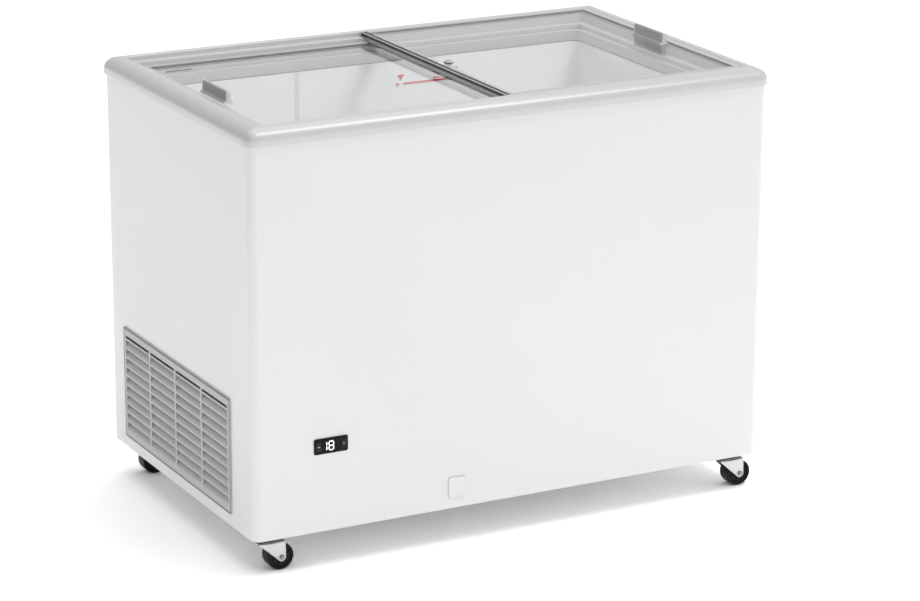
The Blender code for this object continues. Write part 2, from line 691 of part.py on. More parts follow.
# ---------------------------------------------------------------- cooling system
def make_compressor(mats):
    """A hermetic compressor on a hat-section rail bolted to the base pan."""
    base = UNDERSIDE + 0.002 + GAP
    centre = (-0.310, 0.060)
    hat = [(-0.080, 0), (-0.055, 0), (-0.050, 0.012), (0.050, 0.012), (0.055, 0), (0.080, 0),
           (0.080, 0.002), (0.0565, 0.002), (0.0515, 0.014), (-0.0515, 0.014), (-0.0565, 0.002), (-0.080, 0.002)]
    outline = [(centre[0] + x, base + z) for x, z in hat]
    prism("compressor_rail", outline, "Y", centre[1] - 0.105, centre[1] + 0.105, mats["steel"])
    seat = base + 0.014 + GAP
    dome = [(0, 0), (0.055, 0), (0.070, 0.012), (0.074, 0.045), (0.074, 0.060), (0.078, 0.062), (0.078, 0.068),
            (0.074, 0.070), (0.072, 0.095), (0.058, 0.120), (0.030, 0.134), (0, 0.138)]
    turned("compressor", dome, 24, "Z", (*centre, seat), mats["black_plastic"])
    return centre, seat


def make_condenser(mats):
    """A serpentine of tube on edge behind the side grille."""
    x, y0, y1 = -0.490, -0.190, 0.210
    z0, spacing, passes = 0.110, 0.030, 7
    route = []
    for row in range(passes):
        z = z0 + spacing * row
        ends = (y0, y1) if row % 2 == 0 else (y1, y0)
        route += [Vector((x, ends[0], z)), Vector((x, ends[1], z))]
        if row < passes - 1:
            side = 1 if row % 2 == 0 else -1
            for angle in (-45, 0, 45):
                turn = math.radians(angle)
                route.append(Vector((x, ends[1] + side * spacing / 2 * math.cos(turn),
                                     z + spacing / 2 + spacing / 2 * math.sin(turn))))
    tube("condenser_coil", route, 0.004, mats["steel"], 1)
    return route[-1]


def make_evaporator(mats):
    """A tube wound round the outside of the tub, in the space between the tub and the foam."""
    offset = TUB_OUTER - COIL_SPACE / 2
    half_x, half_y = FRAME_X - offset, FRAME_Y - offset
    radius, turns, rise = 0.006, 4, 0.075
    corners = ((half_x, -half_y, 270), (half_x, half_y, 0), (-half_x, half_y, 90), (-half_x, -half_y, 180))
    flat = []
    for x, y, start in corners:
        centre = (x - math.copysign(radius, x), y - math.copysign(radius, y))
        flat += arc(centre, radius, start, start + 90, 2)
    count = len(flat) * turns
    route = []
    for i in range(count):
        x, y = flat[i % len(flat)]
        lap = i // len(flat)
        share = (i % len(flat)) / len(flat)
        route.append(Vector((x, y, 0.430 + rise * (lap + share))))
    tube("evaporator_coil", route, 0.0035, mats["copper"], 1)


def make_fan(mats):
    """The condenser fan: a shroud with a round hole, a motor on a foot, and a five-bladed fan."""
    y, z = 0.030, 0.185
    shroud = box("fan_shroud", (-0.462, y - 0.105, UNDERSIDE + 0.002 + GAP), (-0.460, y + 0.105, z + 0.100),
                 mats["steel"])
    cut(shroud, turned("shroud_hole", cylinder_profile(0.084, -0.01, 0.01), 24, "X", (-0.461, y, z), None))

    motor_x = -0.414
    motor = turned("fan_motor", [(0, -0.018), (0.026, -0.018), (0.030, -0.012), (0.030, 0.014), (0.020, 0.020),
                                 (0, 0.020)], 20, "X", (motor_x, y, z), mats["black_plastic"])
    foot = box("motor_foot", (motor_x - 0.010, y - 0.012, UNDERSIDE + 0.002 + GAP),
               (motor_x + 0.010, y + 0.012, z - 0.010), None)
    foot.hide_render = True
    foot.display_type = "WIRE"
    union = motor.modifiers.new("foot", "BOOLEAN")
    union.operation = "UNION"
    union.solver = "EXACT"
    union.object = foot

    hub_x = -0.441
    empty = pivot("fan_spin", (hub_x, y, z))
    bm = bmesh.new()
    hub_radius, tip_radius, blades, pitch = 0.020, 0.076, 5, math.radians(24)
    sides = 20
    rings = []
    for along in (-0.008, 0.008):
        rings.append([bm.verts.new((along, hub_radius * math.cos(2 * math.pi * k / sides),
                                    hub_radius * math.sin(2 * math.pi * k / sides))) for k in range(sides)])
    bm.faces.new(rings[0])
    bm.faces.new(reversed(rings[1]))
    for k in range(sides):
        j = (k + 1) % sides
        bm.faces.new((rings[0][k], rings[0][j], rings[1][j], rings[1][k]))
    fan = add_object("fan_blade", bm, mats["black_plastic"], (hub_x, y, z), empty)
    blade_mesh = bmesh.new()
    for blade in range(blades):
        turn = Matrix.Rotation(2 * math.pi * blade / blades, 3, "X")
        corners = []
        for radius, half_width in ((hub_radius - 0.004, 0.009), (tip_radius, 0.016)):
            for across in (-1, 1):
                for face in (-1, 1):
                    width = across * half_width
                    spot = Vector((width * math.sin(pitch) + face * 0.0009, width * math.cos(pitch), radius))
                    corners.append(blade_mesh.verts.new(turn @ spot))
        a, b, c, d, e, f, g, h = corners
        for face in ((a, b, d, c), (e, g, h, f), (a, e, f, b), (c, d, h, g), (a, c, g, e), (b, f, h, d)):
            blade_mesh.faces.new(face)
    blade_set = add_object("blade_set", blade_mesh, None, (hub_x, y, z))
    blade_set.hide_render = True
    blade_set.display_type = "WIRE"
    union = fan.modifiers.new("blades", "BOOLEAN")
    union.operation = "UNION"
    union.solver = "EXACT"
    union.object = blade_set


def make_pipes(mats, compressor, seat, condenser_end):
    """The drier and the two pipes that join the compressor to the coils."""
    drier = [(0, -0.055), (0.0035, -0.055), (0.0035, -0.048), (0.011, -0.040), (0.011, 0.040), (0.0035, 0.048),
             (0.0035, 0.055), (0, 0.055)]
    turned("filter_drier", drier, 12, "Y", (-0.440, -0.215, 0.285), mats["copper"])
    x, y = compressor
    top = seat + 0.138
    discharge = rounded_path([(x - 0.030, y + 0.020, top - 0.002), (x - 0.030, y + 0.020, condenser_end.z),
                              (x - 0.030, 0.240, condenser_end.z), (condenser_end.x, 0.240, condenser_end.z),
                              (condenser_end.x, condenser_end.y + 0.0005, condenser_end.z)], 0.010, 3)
    tube("discharge_pipe", discharge, 0.003, mats["copper"], 1)
    suction = rounded_path([(x + 0.030, y - 0.020, top - 0.002), (x + 0.030, y - 0.020, 0.295),
                            (x + 0.030, -0.150, 0.295), (x + 0.030, -0.150, 0.3195)], 0.008, 3)
    tube("suction_pipe", suction, 0.004, mats["copper"], 1)


# ---------------------------------------------------------------- casters
def make_caster(corner, x, y, mats):
    """A swivel caster: a plate with a ball race, a fork, a wheel and its axle. It trails along +X."""
    plate_top = UNDERSIDE - GAP
    plate = box(f"{corner}_caster_plate", (x - 0.025, y - 0.025, plate_top - 0.0025),
                (x + 0.025, y + 0.025, plate_top), mats["zinc"])
    race = turned(f"{corner}_race", cylinder_profile(0.017, -0.008, -0.001), 20, "Z", (x, y, plate_top), None)
    race.hide_render = True
    race.display_type = "WIRE"
    union = plate.modifiers.new("race", "BOOLEAN")
    union.operation = "UNION"
    union.solver = "EXACT"
    union.object = race

    swivel = pivot(f"{corner}_swivel", (x, y, plate_top))
    axle_x, axle_z = x + CASTER_TRAIL, WHEEL_RADIUS
    top = plate_top - 0.008 - GAP
    leg_inner, leg_outer = WHEEL_WIDTH / 2 + 0.0015, WHEEL_WIDTH / 2 + 0.0035
    tip = 0.0075
    side = [(x - 0.023, top), (x - 0.023, top - 0.004)]
    side += arc((axle_x, axle_z), tip, 222, 360, 6)
    side += [(x + 0.0275, top - 0.004), (x + 0.0275, top)]
    fork = prism(f"{corner}_caster_fork", side, "Y", y - leg_outer, y + leg_outer, mats["zinc"], swivel,
                 origin=(x, y, plate_top))
    opening = box(f"{corner}_fork_gap", (x - 0.05, y - leg_inner, -0.01), (x + 0.06, y + leg_inner, top - 0.002),
                  None)
    cut(fork, opening)
    cut(fork, turned(f"{corner}_axle_hole", cylinder_profile(0.0043, -0.05, 0.05), 16, "Y",
                     (axle_x, y, axle_z), None))

    end = leg_outer + GAP
    axle = [(0, -end - 0.0025), (0.0060, -end - 0.0025), (0.0060, -end), (0.0040, -end), (0.0040, end),
            (0.0060, end), (0.0060, end + 0.0025), (0, end + 0.0025)]
    turned(f"{corner}_caster_axle", axle, 12, "Y", (axle_x, y, axle_z), mats["steel"], swivel)

    sides = 24
    rim = WHEEL_RADIUS / math.cos(math.pi / sides)
    half = WHEEL_WIDTH / 2
    wheel = [(0.0043, -half), (rim - 0.0025, -half), (rim, -half + 0.0025), (rim, half - 0.0025),
             (rim - 0.0025, half), (0.0043, half)]
    spin = pivot(f"{corner}_wheel_spin", (axle_x, y, axle_z), swivel)
    turned(f"{corner}_caster_wheel", wheel, sides, "Y", (axle_x, y, axle_z), mats["wheel_black"], spin,
           ring=True, phase=math.pi / sides)


def make_casters(mats):
    for corner, sx, sy in (("front_left", -1, -1), ("front_right", 1, -1), ("rear_left", -1, 1),
                           ("rear_right", 1, 1)):
        make_caster(corner, sx * CASTER_X, sy * CASTER_Y, mats)


def main():
    clear_scene()
    mats = make_materials()
    make_outer_shell(mats)
    make_rear_panel(mats)
    make_base_pan(mats)
    make_foam(mats)
    make_tub(mats)
    make_collar(mats)
    make_frame(mats)
    make_lids(mats)
    make_grille(mats)
    make_controller(mats)
    make_drain_cover(mats)
    make_drain(mats)
    make_cable_gland(mats)
    compressor, seat = make_compressor(mats)
    condenser_end = make_condenser(mats)
    make_evaporator(mats)
    make_fan(mats)
    make_pipes(mats, compressor, seat, condenser_end)
    make_casters(mats)


main()
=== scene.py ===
"""The looks of a chest freezer with two sliding glass lids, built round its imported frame."""
import math

import bmesh
import bpy
from mathutils import Euler, Matrix, Vector


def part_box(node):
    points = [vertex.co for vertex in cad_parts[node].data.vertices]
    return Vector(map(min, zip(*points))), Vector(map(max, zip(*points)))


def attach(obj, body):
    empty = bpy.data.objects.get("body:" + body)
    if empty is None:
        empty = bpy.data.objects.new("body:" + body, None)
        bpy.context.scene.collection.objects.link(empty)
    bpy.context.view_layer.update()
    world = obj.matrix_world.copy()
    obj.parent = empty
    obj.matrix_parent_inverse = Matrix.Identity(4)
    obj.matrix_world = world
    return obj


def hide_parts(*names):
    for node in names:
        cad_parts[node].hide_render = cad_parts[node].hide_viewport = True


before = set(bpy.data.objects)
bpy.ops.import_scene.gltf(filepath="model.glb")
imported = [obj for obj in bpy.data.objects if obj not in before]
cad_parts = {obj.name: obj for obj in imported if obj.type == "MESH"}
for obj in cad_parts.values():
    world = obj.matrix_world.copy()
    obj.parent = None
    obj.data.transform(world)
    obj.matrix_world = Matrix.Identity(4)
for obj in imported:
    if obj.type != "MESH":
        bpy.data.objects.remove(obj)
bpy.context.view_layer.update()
scene = bpy.context.scene


# ---- places, read from the frame
def low(part):
    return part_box(part)[0]


def high(part):
    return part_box(part)[1]


def middle(part):
    return (low(part) + high(part)) / 2


FRAME_X, FRAME_Y = high("frame_right").x, high("frame_rear").y
RAIL_BASE, RAIL_TOP = low("frame_front").z, high("frame_front").z
HALF_X, HALF_Y = high("outer_shell").x, high("outer_shell").y
UNDERSIDE = low("outer_shell").z
CORNER_RADIUS = 0.017
OVERHANG = FRAME_X - HALF_X
RAIL_WIDTH, RAIL_STEP = 0.070, 0.0535


# ---- materials
def node(tree, kind, sockets, **settings):
    """Adds a shader node. sockets gives each input its value, or the output that feeds it."""
    made = tree.nodes.new(f"ShaderNode{kind}")
    for key, value in settings.items():
        setattr(made, key, value)
    connect(tree, made, sockets)
    return made


def connect(tree, made, sockets):
    for key, value in sockets.items():
        if isinstance(value, bpy.types.NodeSocket):
            tree.links.new(value, made.inputs[key])
        else:
            made.inputs[key].default_value = value


def material_tree(name):
    mat = bpy.data.materials.new(name)
    mat.use_nodes = True
    return mat, mat.node_tree


def surface(name, colour, roughness, metallic=0.0, scale=300, tone=0.03, spread=0.05,
            bump=0.06, depth=0.0002, patch=7.0, gloss=0.5, alpha=1.0):
    """A Principled material whose colour, roughness and relief all vary over the surface.

    colour is one number for a grey. scale is the grain's frequency, one number or one per axis, and
    patch the broad variation's. tone and spread are how far colour and roughness vary.
    """
    mat, tree = material_tree(name)
    colour = (colour,) * 3 if isinstance(colour, float) else colour
    scale = (scale,) * 3 if isinstance(scale, int) else scale
    coords = node(tree, "TexCoord", {}).outputs["Object"]
    mapping = node(tree, "Mapping", {"Vector": coords, "Scale": scale})
    grain = node(tree, "TexNoise", {"Vector": mapping.outputs["Vector"], "Scale": 1.0, "Detail": 4.0})
    broad = node(tree, "TexNoise", {"Vector": coords, "Scale": patch, "Detail": 3.0})
    grain, broad = grain.outputs["Fac"], broad.outputs["Fac"]
    half = node(tree, "Math", {0: broad, 1: 0.5}, operation="MULTIPLY")
    both = node(tree, "Math", {0: grain, 1: 0.5, 2: half.outputs["Value"]}, operation="MULTIPLY_ADD")
    dark, light = [(*[min(1.0, c * (1 + sign * tone)) for c in colour], 1.0) for sign in (-1, 1)]
    blend = node(tree, "Mix", {"A": dark, "B": light, "Factor": both.outputs["Value"]}, data_type="RGBA")
    rough = node(tree, "MapRange", {"Value": broad, "To Min": max(0.02, roughness - spread),
                                    "To Max": min(1.0, roughness + spread)})
    relief = node(tree, "Bump", {"Strength": bump, "Distance": depth, "Height": grain})
    connect(tree, tree.nodes["Principled BSDF"], {
        "Metallic": metallic, "Specular IOR Level": gloss, "Alpha": alpha,
        "Base Color": blend.outputs["Result"], "Roughness": rough.outputs["Result"],
        "Normal": relief.outputs["Normal"]})
    return mat


def spangled(name, colour, roughness, cells):
    """Galvanised sheet: crystals of slightly different tone and gloss."""
    mat = surface(name, colour, roughness, 1.0, tone=0.05)
    tree = mat.node_tree
    coords = node(tree, "TexCoord", {}).outputs["Object"]
    crystals = node(tree, "TexVoronoi", {"Vector": coords, "Scale": cells})
    varied = node(tree, "MapRange", {"Value": crystals.outputs["Color"], "To Min": roughness - 0.12,
                                     "To Max": roughness + 0.12})
    connect(tree, tree.nodes["Principled BSDF"], {"Roughness": varied.outputs["Result"]})
    return mat


def pane_glass(name, tint, gain):
    """Clear float glass: a mirror of the surroundings that grows towards grazing angles, over a tint."""
    mat, tree = material_tree(name)
    tree.nodes.clear()
    coords = node(tree, "TexCoord", {}).outputs["Object"]
    smears = node(tree, "TexNoise", {"Vector": coords, "Scale": 5.0, "Detail": 5.0}).outputs["Fac"]
    rough = node(tree, "MapRange", {"Value": smears, "To Min": 0.005, "To Max": 0.05})
    ripple = node(tree, "Bump", {"Strength": 0.04, "Distance": 0.0003, "Height": smears})
    clear = node(tree, "BsdfTransparent", {"Color": (*tint, 1.0)})
    mirror = node(tree, "BsdfGlossy", {"Color": (0.98, 0.99, 0.99, 1.0), "Roughness": rough.outputs["Result"],
                                       "Normal": ripple.outputs["Normal"]})
    fresnel = node(tree, "Fresnel", {"IOR": 1.5})
    geometry = node(tree, "NewGeometry", {})
    front = node(tree, "Math", {0: 1.0, 1: geometry.outputs["Backfacing"]}, operation="SUBTRACT")
    share = node(tree, "Math", {0: fresnel.outputs["Fac"], 1: gain}, operation="MULTIPLY", use_clamp=True)
    gated = node(tree, "Math", {0: share.outputs["Value"], 1: front.outputs["Value"]}, operation="MULTIPLY")
    mix = node(tree, "MixShader", {"Fac": gated.outputs["Value"], 1: clear.outputs["BSDF"],
                                   2: mirror.outputs["BSDF"]})
    node(tree, "OutputMaterial", {"Surface": mix.outputs["Shader"]})
    return mat


PAINT = surface("powder_white", (0.755, 0.745, 0.750), 0.34, scale=900, tone=0.006, spread=0.03,
                bump=0.05, depth=0.00015, patch=2.5)
LINER = surface("liner_white", 0.87, 0.42, scale=500, tone=0.012, patch=4.0)
COLLAR = surface("collar_grey", 0.58, 0.45, scale=700, tone=0.02)
FRAME_ALONG_X = surface("frame_grey_x", 0.60, 0.29, 0.12, scale=(60, 500, 500), tone=0.014,
                        spread=0.03, bump=0.012, depth=0.0001, patch=5.0)
# Painted shade: the rails along Y are a shade darker and a little more metallic than those along X, so the
# left rail reads darker.
FRAME_ALONG_Y_SHADED = surface("frame_grey_y_painted_shade", 0.58, 0.30, 0.18, scale=(500, 60, 500), tone=0.014,
                        spread=0.03, bump=0.012, depth=0.0001, patch=5.0)
TRIM = surface("trim_grey", (0.52, 0.52, 0.515), 0.40, scale=(60, 500, 500), tone=0.02, bump=0.02)
GASKET = surface("gasket_black", 0.055, 0.62, scale=400, tone=0.12, bump=0.12)
LIP = surface("gasket_lip", (0.40, 0.40, 0.395), 0.5, scale=400, tone=0.08, bump=0.1)
SEAL = surface("seal_dark", 0.060, 0.5, scale=(900, 8, 900), tone=0.1, bump=0.08, gloss=0.3)
# Pale grey for the divider's rear cap, and a painted highlight along the divider's edge.
PALE_GREY_AND_PAINTED_HIGHLIGHT = surface("seal_pale_grey_and_painted_highlight", (0.62, 0.62, 0.61), 0.35, scale=(900, 8, 900), tone=0.04)
SOFT_LIP = surface("seal_clear_lip", 0.50, 0.3, scale=(900, 8, 900), tone=0.05, alpha=0.55)
FILM = surface("seal_clear_tape", (0.62, 0.62, 0.615), 0.3, scale=(900, 8, 900), tone=0.05, alpha=0.30)
ALUMINIUM = surface("end_profile_grey", (0.52, 0.52, 0.515), 0.36, scale=(500, 60, 500), tone=0.02, bump=0.02)
# The handle's grey fin and its white end caps are shaded and lit copies of one finish: painted shade on the
# fin, painted light on the caps. The white also serves the lock collar and the divider's front cap.
HANDLE_GREY_PAINTED_SHADE = surface("handle_grey", (0.41, 0.41, 0.405), 0.38, scale=(700, 30, 700), tone=0.03)
WHITE_AND_PAINTED_LIGHT = surface("cap_white_and_painted_light", (0.80, 0.79, 0.79), 0.36, tone=0.01, spread=0.04)
WHITE_ABS = surface("abs_white", (0.765, 0.757, 0.762), 0.38, scale=800, tone=0.008, spread=0.03)
GRILLE = surface("grille_grey", 0.485, 0.50, scale=1100, tone=0.03, bump=0.12, depth=0.00015)
DARK = surface("dust_filter", 0.012, 0.9, scale=1500, tone=0.4, bump=0.6, depth=0.0006)
GLOSS_BLACK = surface("controller_black", (0.008, 0.0075, 0.008), 0.30, tone=0.06, bump=0.01,
                      patch=40.0, gloss=0.12)
WINDOW_BLACK = surface("display_window", 0.006, 0.14, tone=0.1, spread=0.03, bump=0.005,
                       patch=40.0, gloss=0.12)
KEY_BLACK = surface("key_black", (0.010, 0.010, 0.0105), 0.42, scale=1200, tone=0.08, bump=0.1, gloss=0.3)
# Grey for the printed key symbols, and painted shadow in the gaps round the drain cover.
MARK_AND_SHADOW_GREY = surface("key_mark_and_painted_shadow", 0.55, 0.5, tone=0.05)
RED = surface("load_mark_red", (0.80, 0.012, 0.006), 0.45, scale=900, tone=0.08)
ZINC = surface("zinc_bright", (0.58, 0.58, 0.585), 0.34, 0.80, scale=(500, 500, 60), tone=0.05, spread=0.1,
               bump=0.08, patch=60.0)
ZINC_DARK = surface("zinc_dull", (0.30, 0.30, 0.305), 0.42, 0.9, scale=500, tone=0.1, spread=0.1)
CROWN = surface("crown_dull", 0.12, 0.40, 0.6, scale=500, tone=0.15, spread=0.1)
# Painted shade: the race ring is near black, standing for the shade in the gap between mount plate and fork.
RACE_PAINTED_SHADE = surface("race_painted_shade", (0.03, 0.028, 0.025), 0.5, tone=0.2, bump=0.2)
TYRE = surface("wheel_black", 0.010, 0.42, scale=900, tone=0.2, spread=0.1,
               bump=0.12, patch=50.0, gloss=0.14)
GALVANISED = spangled("galvanised_sheet", (0.62, 0.63, 0.64), 0.42, 55.0)
STEEL = surface("steel_wire", (0.16, 0.16, 0.165), 0.45, 0.6, tone=0.12, spread=0.1, bump=0.1)
ENAMEL = surface("compressor_enamel", (0.016, 0.016, 0.017), 0.28, scale=250, tone=0.2,
                 spread=0.08, bump=0.15, depth=0.0005)
COPPER = surface("copper_tube", (0.72, 0.38, 0.24), 0.30, 1.0, scale=120, tone=0.14, spread=0.1, bump=0.05)
FOAM = surface("rigid_foam", (0.78, 0.68, 0.42), 0.9, scale=260, tone=0.12, bump=0.7, depth=0.001)
PLASTIC_BLACK = surface("black_plastic", (0.02, 0.02, 0.021), 0.45, scale=900, tone=0.15,
                        spread=0.08, bump=0.14)
TUBE_WHITE = surface("drain_hose_white", (0.78, 0.78, 0.76), 0.4, scale=200, tone=0.03)
GLASS = pane_glass("lid_glass", (0.984, 0.987, 0.985), 1.15)
GLASS_EDGE = surface("glass_edge", (0.30, 0.42, 0.38), 0.15, scale=80, tone=0.1, bump=0.02)


def lit(name, colour, strength):
    """A lit display segment, a little uneven like a light guide."""
    mat = surface(name, colour, 0.4, tone=0.04)
    shader = mat.node_tree.nodes["Principled BSDF"]
    shader.inputs["Emission Color"].default_value = (*colour, 1.0)
    shader.inputs["Emission Strength"].default_value = strength
    return mat


DIGIT = lit("display_digit", (0.95, 0.95, 0.93), 0.75)


# ---- mesh helpers
def add(name, bm, mat, body, replaces=(), bevel=0.0, segments=2, sharp=35, fix=True):
    """Turns bm into a piece that rides on body."""
    if fix:
        bmesh.ops.recalc_face_normals(bm, faces=bm.faces)
    mesh = bpy.data.meshes.new(name)
    bm.to_mesh(mesh)
    bm.free()
    mesh.shade_smooth()
    mesh.set_sharp_from_angle(angle=math.radians(sharp))
    obj = bpy.data.objects.new(name, mesh)
    scene.collection.objects.link(obj)
    mesh.materials.append(mat)
    if bevel:
        edge = obj.modifiers.new("edges", "BEVEL")
        edge.width = bevel
        edge.segments = segments
        edge.limit_method = "ANGLE"
        edge.angle_limit = math.radians(38)
        shade = obj.modifiers.new("shading", "WEIGHTED_NORMAL")
        shade.keep_sharp = True
    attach(obj, body)
    if replaces:
        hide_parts(*replaces)
    return obj


def skin(bm, rows, wrap_rows=True, wrap_cols=False, caps=False):
    """Faces between rows of points. wrap_rows joins the last row to the first; caps fills the two ends."""
    grid = [[bm.verts.new(p) for p in row] for row in rows]
    count, width = len(grid), len(grid[0])
    for i in range(count if wrap_rows else count - 1):
        a, b = grid[i], grid[(i + 1) % count]
        for k in range(width if wrap_cols else width - 1):
            j = (k + 1) % width
            bm.faces.new((a[k], a[j], b[j], b[k]))
    if caps:
        if wrap_cols:
            bm.faces.new(grid[0])
            bm.faces.new(list(reversed(grid[-1])))
        else:
            bm.faces.new([row[0] for row in grid])
            bm.faces.new([row[-1] for row in reversed(grid)])


def stack(bm, loops):
    """A solid through a stack of closed loops, with both ends filled."""
    skin(bm, loops, wrap_rows=False, wrap_cols=True, caps=True)


def arc(cx, cy, radius, start, end, steps):
    """Points along a circle, in degrees, both ends included."""
    turns = [math.radians(start + (end - start) * i / steps) for i in range(steps + 1)]
    return [(cx + radius * math.cos(t), cy + radius * math.sin(t)) for t in turns]


def prism(bm, outline, axis, start, end):
    """A closed outline carried along an axis. The outline holds the other two coordinates in order."""
    def spot(p, along):
        return {"X": (along, p[0], p[1]), "Y": (p[0], along, p[1]), "Z": (p[0], p[1], along)}[axis]
    stack(bm, [[spot(p, start) for p in outline], [spot(p, end) for p in outline]])


def block(bm, first, second):
    prism(bm, [(first[0], first[1]), (second[0], first[1]), (second[0], second[1]), (first[0], second[1])],
          "Z", first[2], second[2])


def lathe(bm, profile, centre, axis, segments=48, closed=False, phase=0.0):
    """Turns (radius, along) pairs round an axis. closed joins the last pair to the first, for a ring."""
    rows = []
    for radius, along in profile:
        row = []
        for k in range(segments):
            turn = 2 * math.pi * (k + phase) / segments
            c, s = radius * math.cos(turn), radius * math.sin(turn)
            place = {"X": (along, c, s), "Y": (c, along, s), "Z": (c, s, along)}[axis]
            row.append(Vector(centre) + Vector(place))
        rows.append(row)
    skin(bm, rows, wrap_rows=closed, wrap_cols=True, caps=not closed)


def rounded_rect(x0, x1, y0, y1, radius, steps=6):
    """A rectangle with rounded corners, anticlockwise."""
    points = []
    for cx, cy, start in ((x1 - radius, y1 - radius, 0), (x0 + radius, y1 - radius, 90),
                          (x0 + radius, y0 + radius, 180), (x1 - radius, y0 + radius, 270)):
        points += arc(cx, cy, radius, start, start + 90, steps)
    return points


def ring(bm, section, x0, x1, y0, y1, radius, steps=6):
    """A closed section, (inset, height) pairs, carried round a rounded rectangle."""
    rows = []
    for inset, height in section:
        loop = rounded_rect(x0 + inset, x1 - inset, y0 + inset, y1 - inset, max(radius - inset, 0.0004),
                            steps)
        rows.append([(x, y, height) for x, y in loop])
    skin(bm, rows, wrap_cols=True)


def perforated(bm, place, spans, holes, front, back):
    """A sheet with rectangular holes. place turns (u, v, depth) into a point."""
    (u0, u1), (v0, v1) = spans
    us = sorted({u0, u1, *[h[0] for h in holes], *[h[1] for h in holes]})
    vs = sorted({v0, v1, *[h[2] for h in holes], *[h[3] for h in holes]})
    made = {}

    def vert(u, v, d):
        if (u, v, d) not in made:
            made[u, v, d] = bm.verts.new(place(u, v, d))
        return made[u, v, d]

    def solid(i, j):
        if not (0 <= i < len(us) - 1 and 0 <= j < len(vs) - 1):
            return False
        u, v = (us[i] + us[i + 1]) / 2, (vs[j] + vs[j + 1]) / 2
        return not any(h[0] < u < h[1] and h[2] < v < h[3] for h in holes)

    for i in range(len(us) - 1):
        for j in range(len(vs) - 1):
            if not solid(i, j):
                continue
            corners = [(us[i], vs[j]), (us[i + 1], vs[j]), (us[i + 1], vs[j + 1]), (us[i], vs[j + 1])]
            for depth in (front, back):
                bm.faces.new([vert(u, v, depth) for u, v in corners])
            for k, (di, dj) in enumerate(((0, -1), (1, 0), (0, 1), (-1, 0))):
                if not solid(i + di, j + dj):
                    a, b = corners[k], corners[(k + 1) % 4]
                    bm.faces.new((vert(*a, front), vert(*b, front), vert(*b, back), vert(*a, back)))


def cut(obj, shapes):
    """Cuts closed shapes, each drawn into its own bmesh, out of a piece."""
    for shape in shapes:
        mesh = bpy.data.meshes.new("cutter")
        bmesh.ops.recalc_face_normals(shape, faces=shape.faces)
        shape.to_mesh(mesh)
        shape.free()
        cutter = bpy.data.objects.new("cutter", mesh)
        scene.collection.objects.link(cutter)
        hole = obj.modifiers.new("hole", "BOOLEAN")
        hole.operation = "DIFFERENCE"
        hole.solver = "EXACT"
        hole.object = cutter
        graph = bpy.context.evaluated_depsgraph_get()
        result = bpy.data.meshes.new_from_object(obj.evaluated_get(graph), depsgraph=graph)
        obj.modifiers.clear()
        obj.data = result
        bpy.data.objects.remove(cutter)
    obj.data.shade_smooth()
    obj.data.set_sharp_from_angle(angle=math.radians(35))


# ---- cabinet
def build_shell():
    """The painted sheet round the front and sides, with its bottom hem and rear flanges."""
    flange = HALF_X - 0.030
    top = high("outer_shell").z
    z0 = UNDERSIDE
    section = [(0, top), (0, z0 + 0.0018), (0.0005, z0 + 0.0006), (0.0016, z0), (0.016, z0 - 0.0002),
               (0.016, z0 + 0.0006), (0.0020, z0 + 0.0008), (0.0010, z0 + 0.0022), (0.0010, top)]
    rows = []
    for inset, height in section:
        x, y, radius = HALF_X - CORNER_RADIUS, HALF_Y - CORNER_RADIUS, CORNER_RADIUS - inset
        path = [(-flange, HALF_Y - inset)]
        for cx, cy, start in ((-x, y, 90), (-x, -y, 180), (x, -y, 270), (x, y, 0)):
            path += arc(cx, cy, max(radius, 0.0008), start, start + 90, 14)
        path.append((flange, HALF_Y - inset))
        rows.append([(px, py, height) for px, py in path])
    bm = bmesh.new()
    skin(bm, rows, caps=True)
    shell = add("cabinet_shell", bm, PAINT, "cabinet", ("outer_shell",))
    g0, g1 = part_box("side_grille")
    grille_hole, drain_hole = bmesh.new(), bmesh.new()
    rim, deep = 0.007, 0.01
    block(grille_hole, (-HALF_X - deep, g0.y + rim, g0.z + rim), (-HALF_X + deep, g1.y - rim, g1.z - rim))
    spot = middle("drain_cover")
    lathe(drain_hole, [(0.009, -deep), (0.009, deep)], (spot.x, -HALF_Y, spot.z), "Y", 32)
    cut(shell, [grille_hole, drain_hole])


def build_rear_panel():
    """The rear sheet: hooded vents over the machine room, pressed ribs and screws round the edge."""
    p0, p1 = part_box("rear_panel")
    vents = [(-0.46, -0.26, 0.120 + 0.022 * row, 0.128 + 0.022 * row) for row in range(8)]
    bm = bmesh.new()

    def place(u, v, d):
        return (u, p1.y + d, v)
    perforated(bm, place, ((p0.x, p1.x), (p0.z, p1.z)), vents, 0.0, -0.001)
    for u0, u1, _, v1 in vents:
        hood = [(p1.y, v1 + 0.0015), *[(p1.y + 0.0026 * math.sin(t), v1 + 0.0015 - 0.0065 * (1 - math.cos(t)))
                                       for t in (math.pi / 12 * k for k in range(1, 7))],
                (p1.y + 0.0019, v1 - 0.0050), (p1.y + 0.0016, v1 - 0.001), (p1.y, v1 + 0.0008)]
        prism(bm, hood, "X", u0 - 0.002, u1 + 0.002)
    for x in (-0.17, 0.0, 0.17, 0.34):
        rib = [(x - 0.010, p1.y), (x - 0.005, p1.y + 0.0016), (x + 0.005, p1.y + 0.0016), (x + 0.010, p1.y)]
        prism(bm, rib, "Z", 0.16, 0.70)
    add("rear_sheet", bm, PAINT, "cabinet", ("rear_panel",), bevel=0.0004)
    bm = bmesh.new()
    spots = [(x, z) for z in (p0.z + 0.012, p1.z - 0.022) for x in (-0.47, -0.235, 0.0, 0.235, 0.47)]
    spots += [(x, z) for x in (-0.478, 0.478) for z in (0.26, 0.43, 0.60)]
    for x, z in spots:
        head = [(0.0, 0.0022), (0.0016, 0.0021), (0.0030, 0.0014), (0.0036, 0.0004), (0.0036, -0.0004)]
        lathe(bm, [(max(r, 0.0002), a) for r, a in head], (x, p1.y, z), "Y", 20)
    add("rear_screws", bm, ZINC, "cabinet")


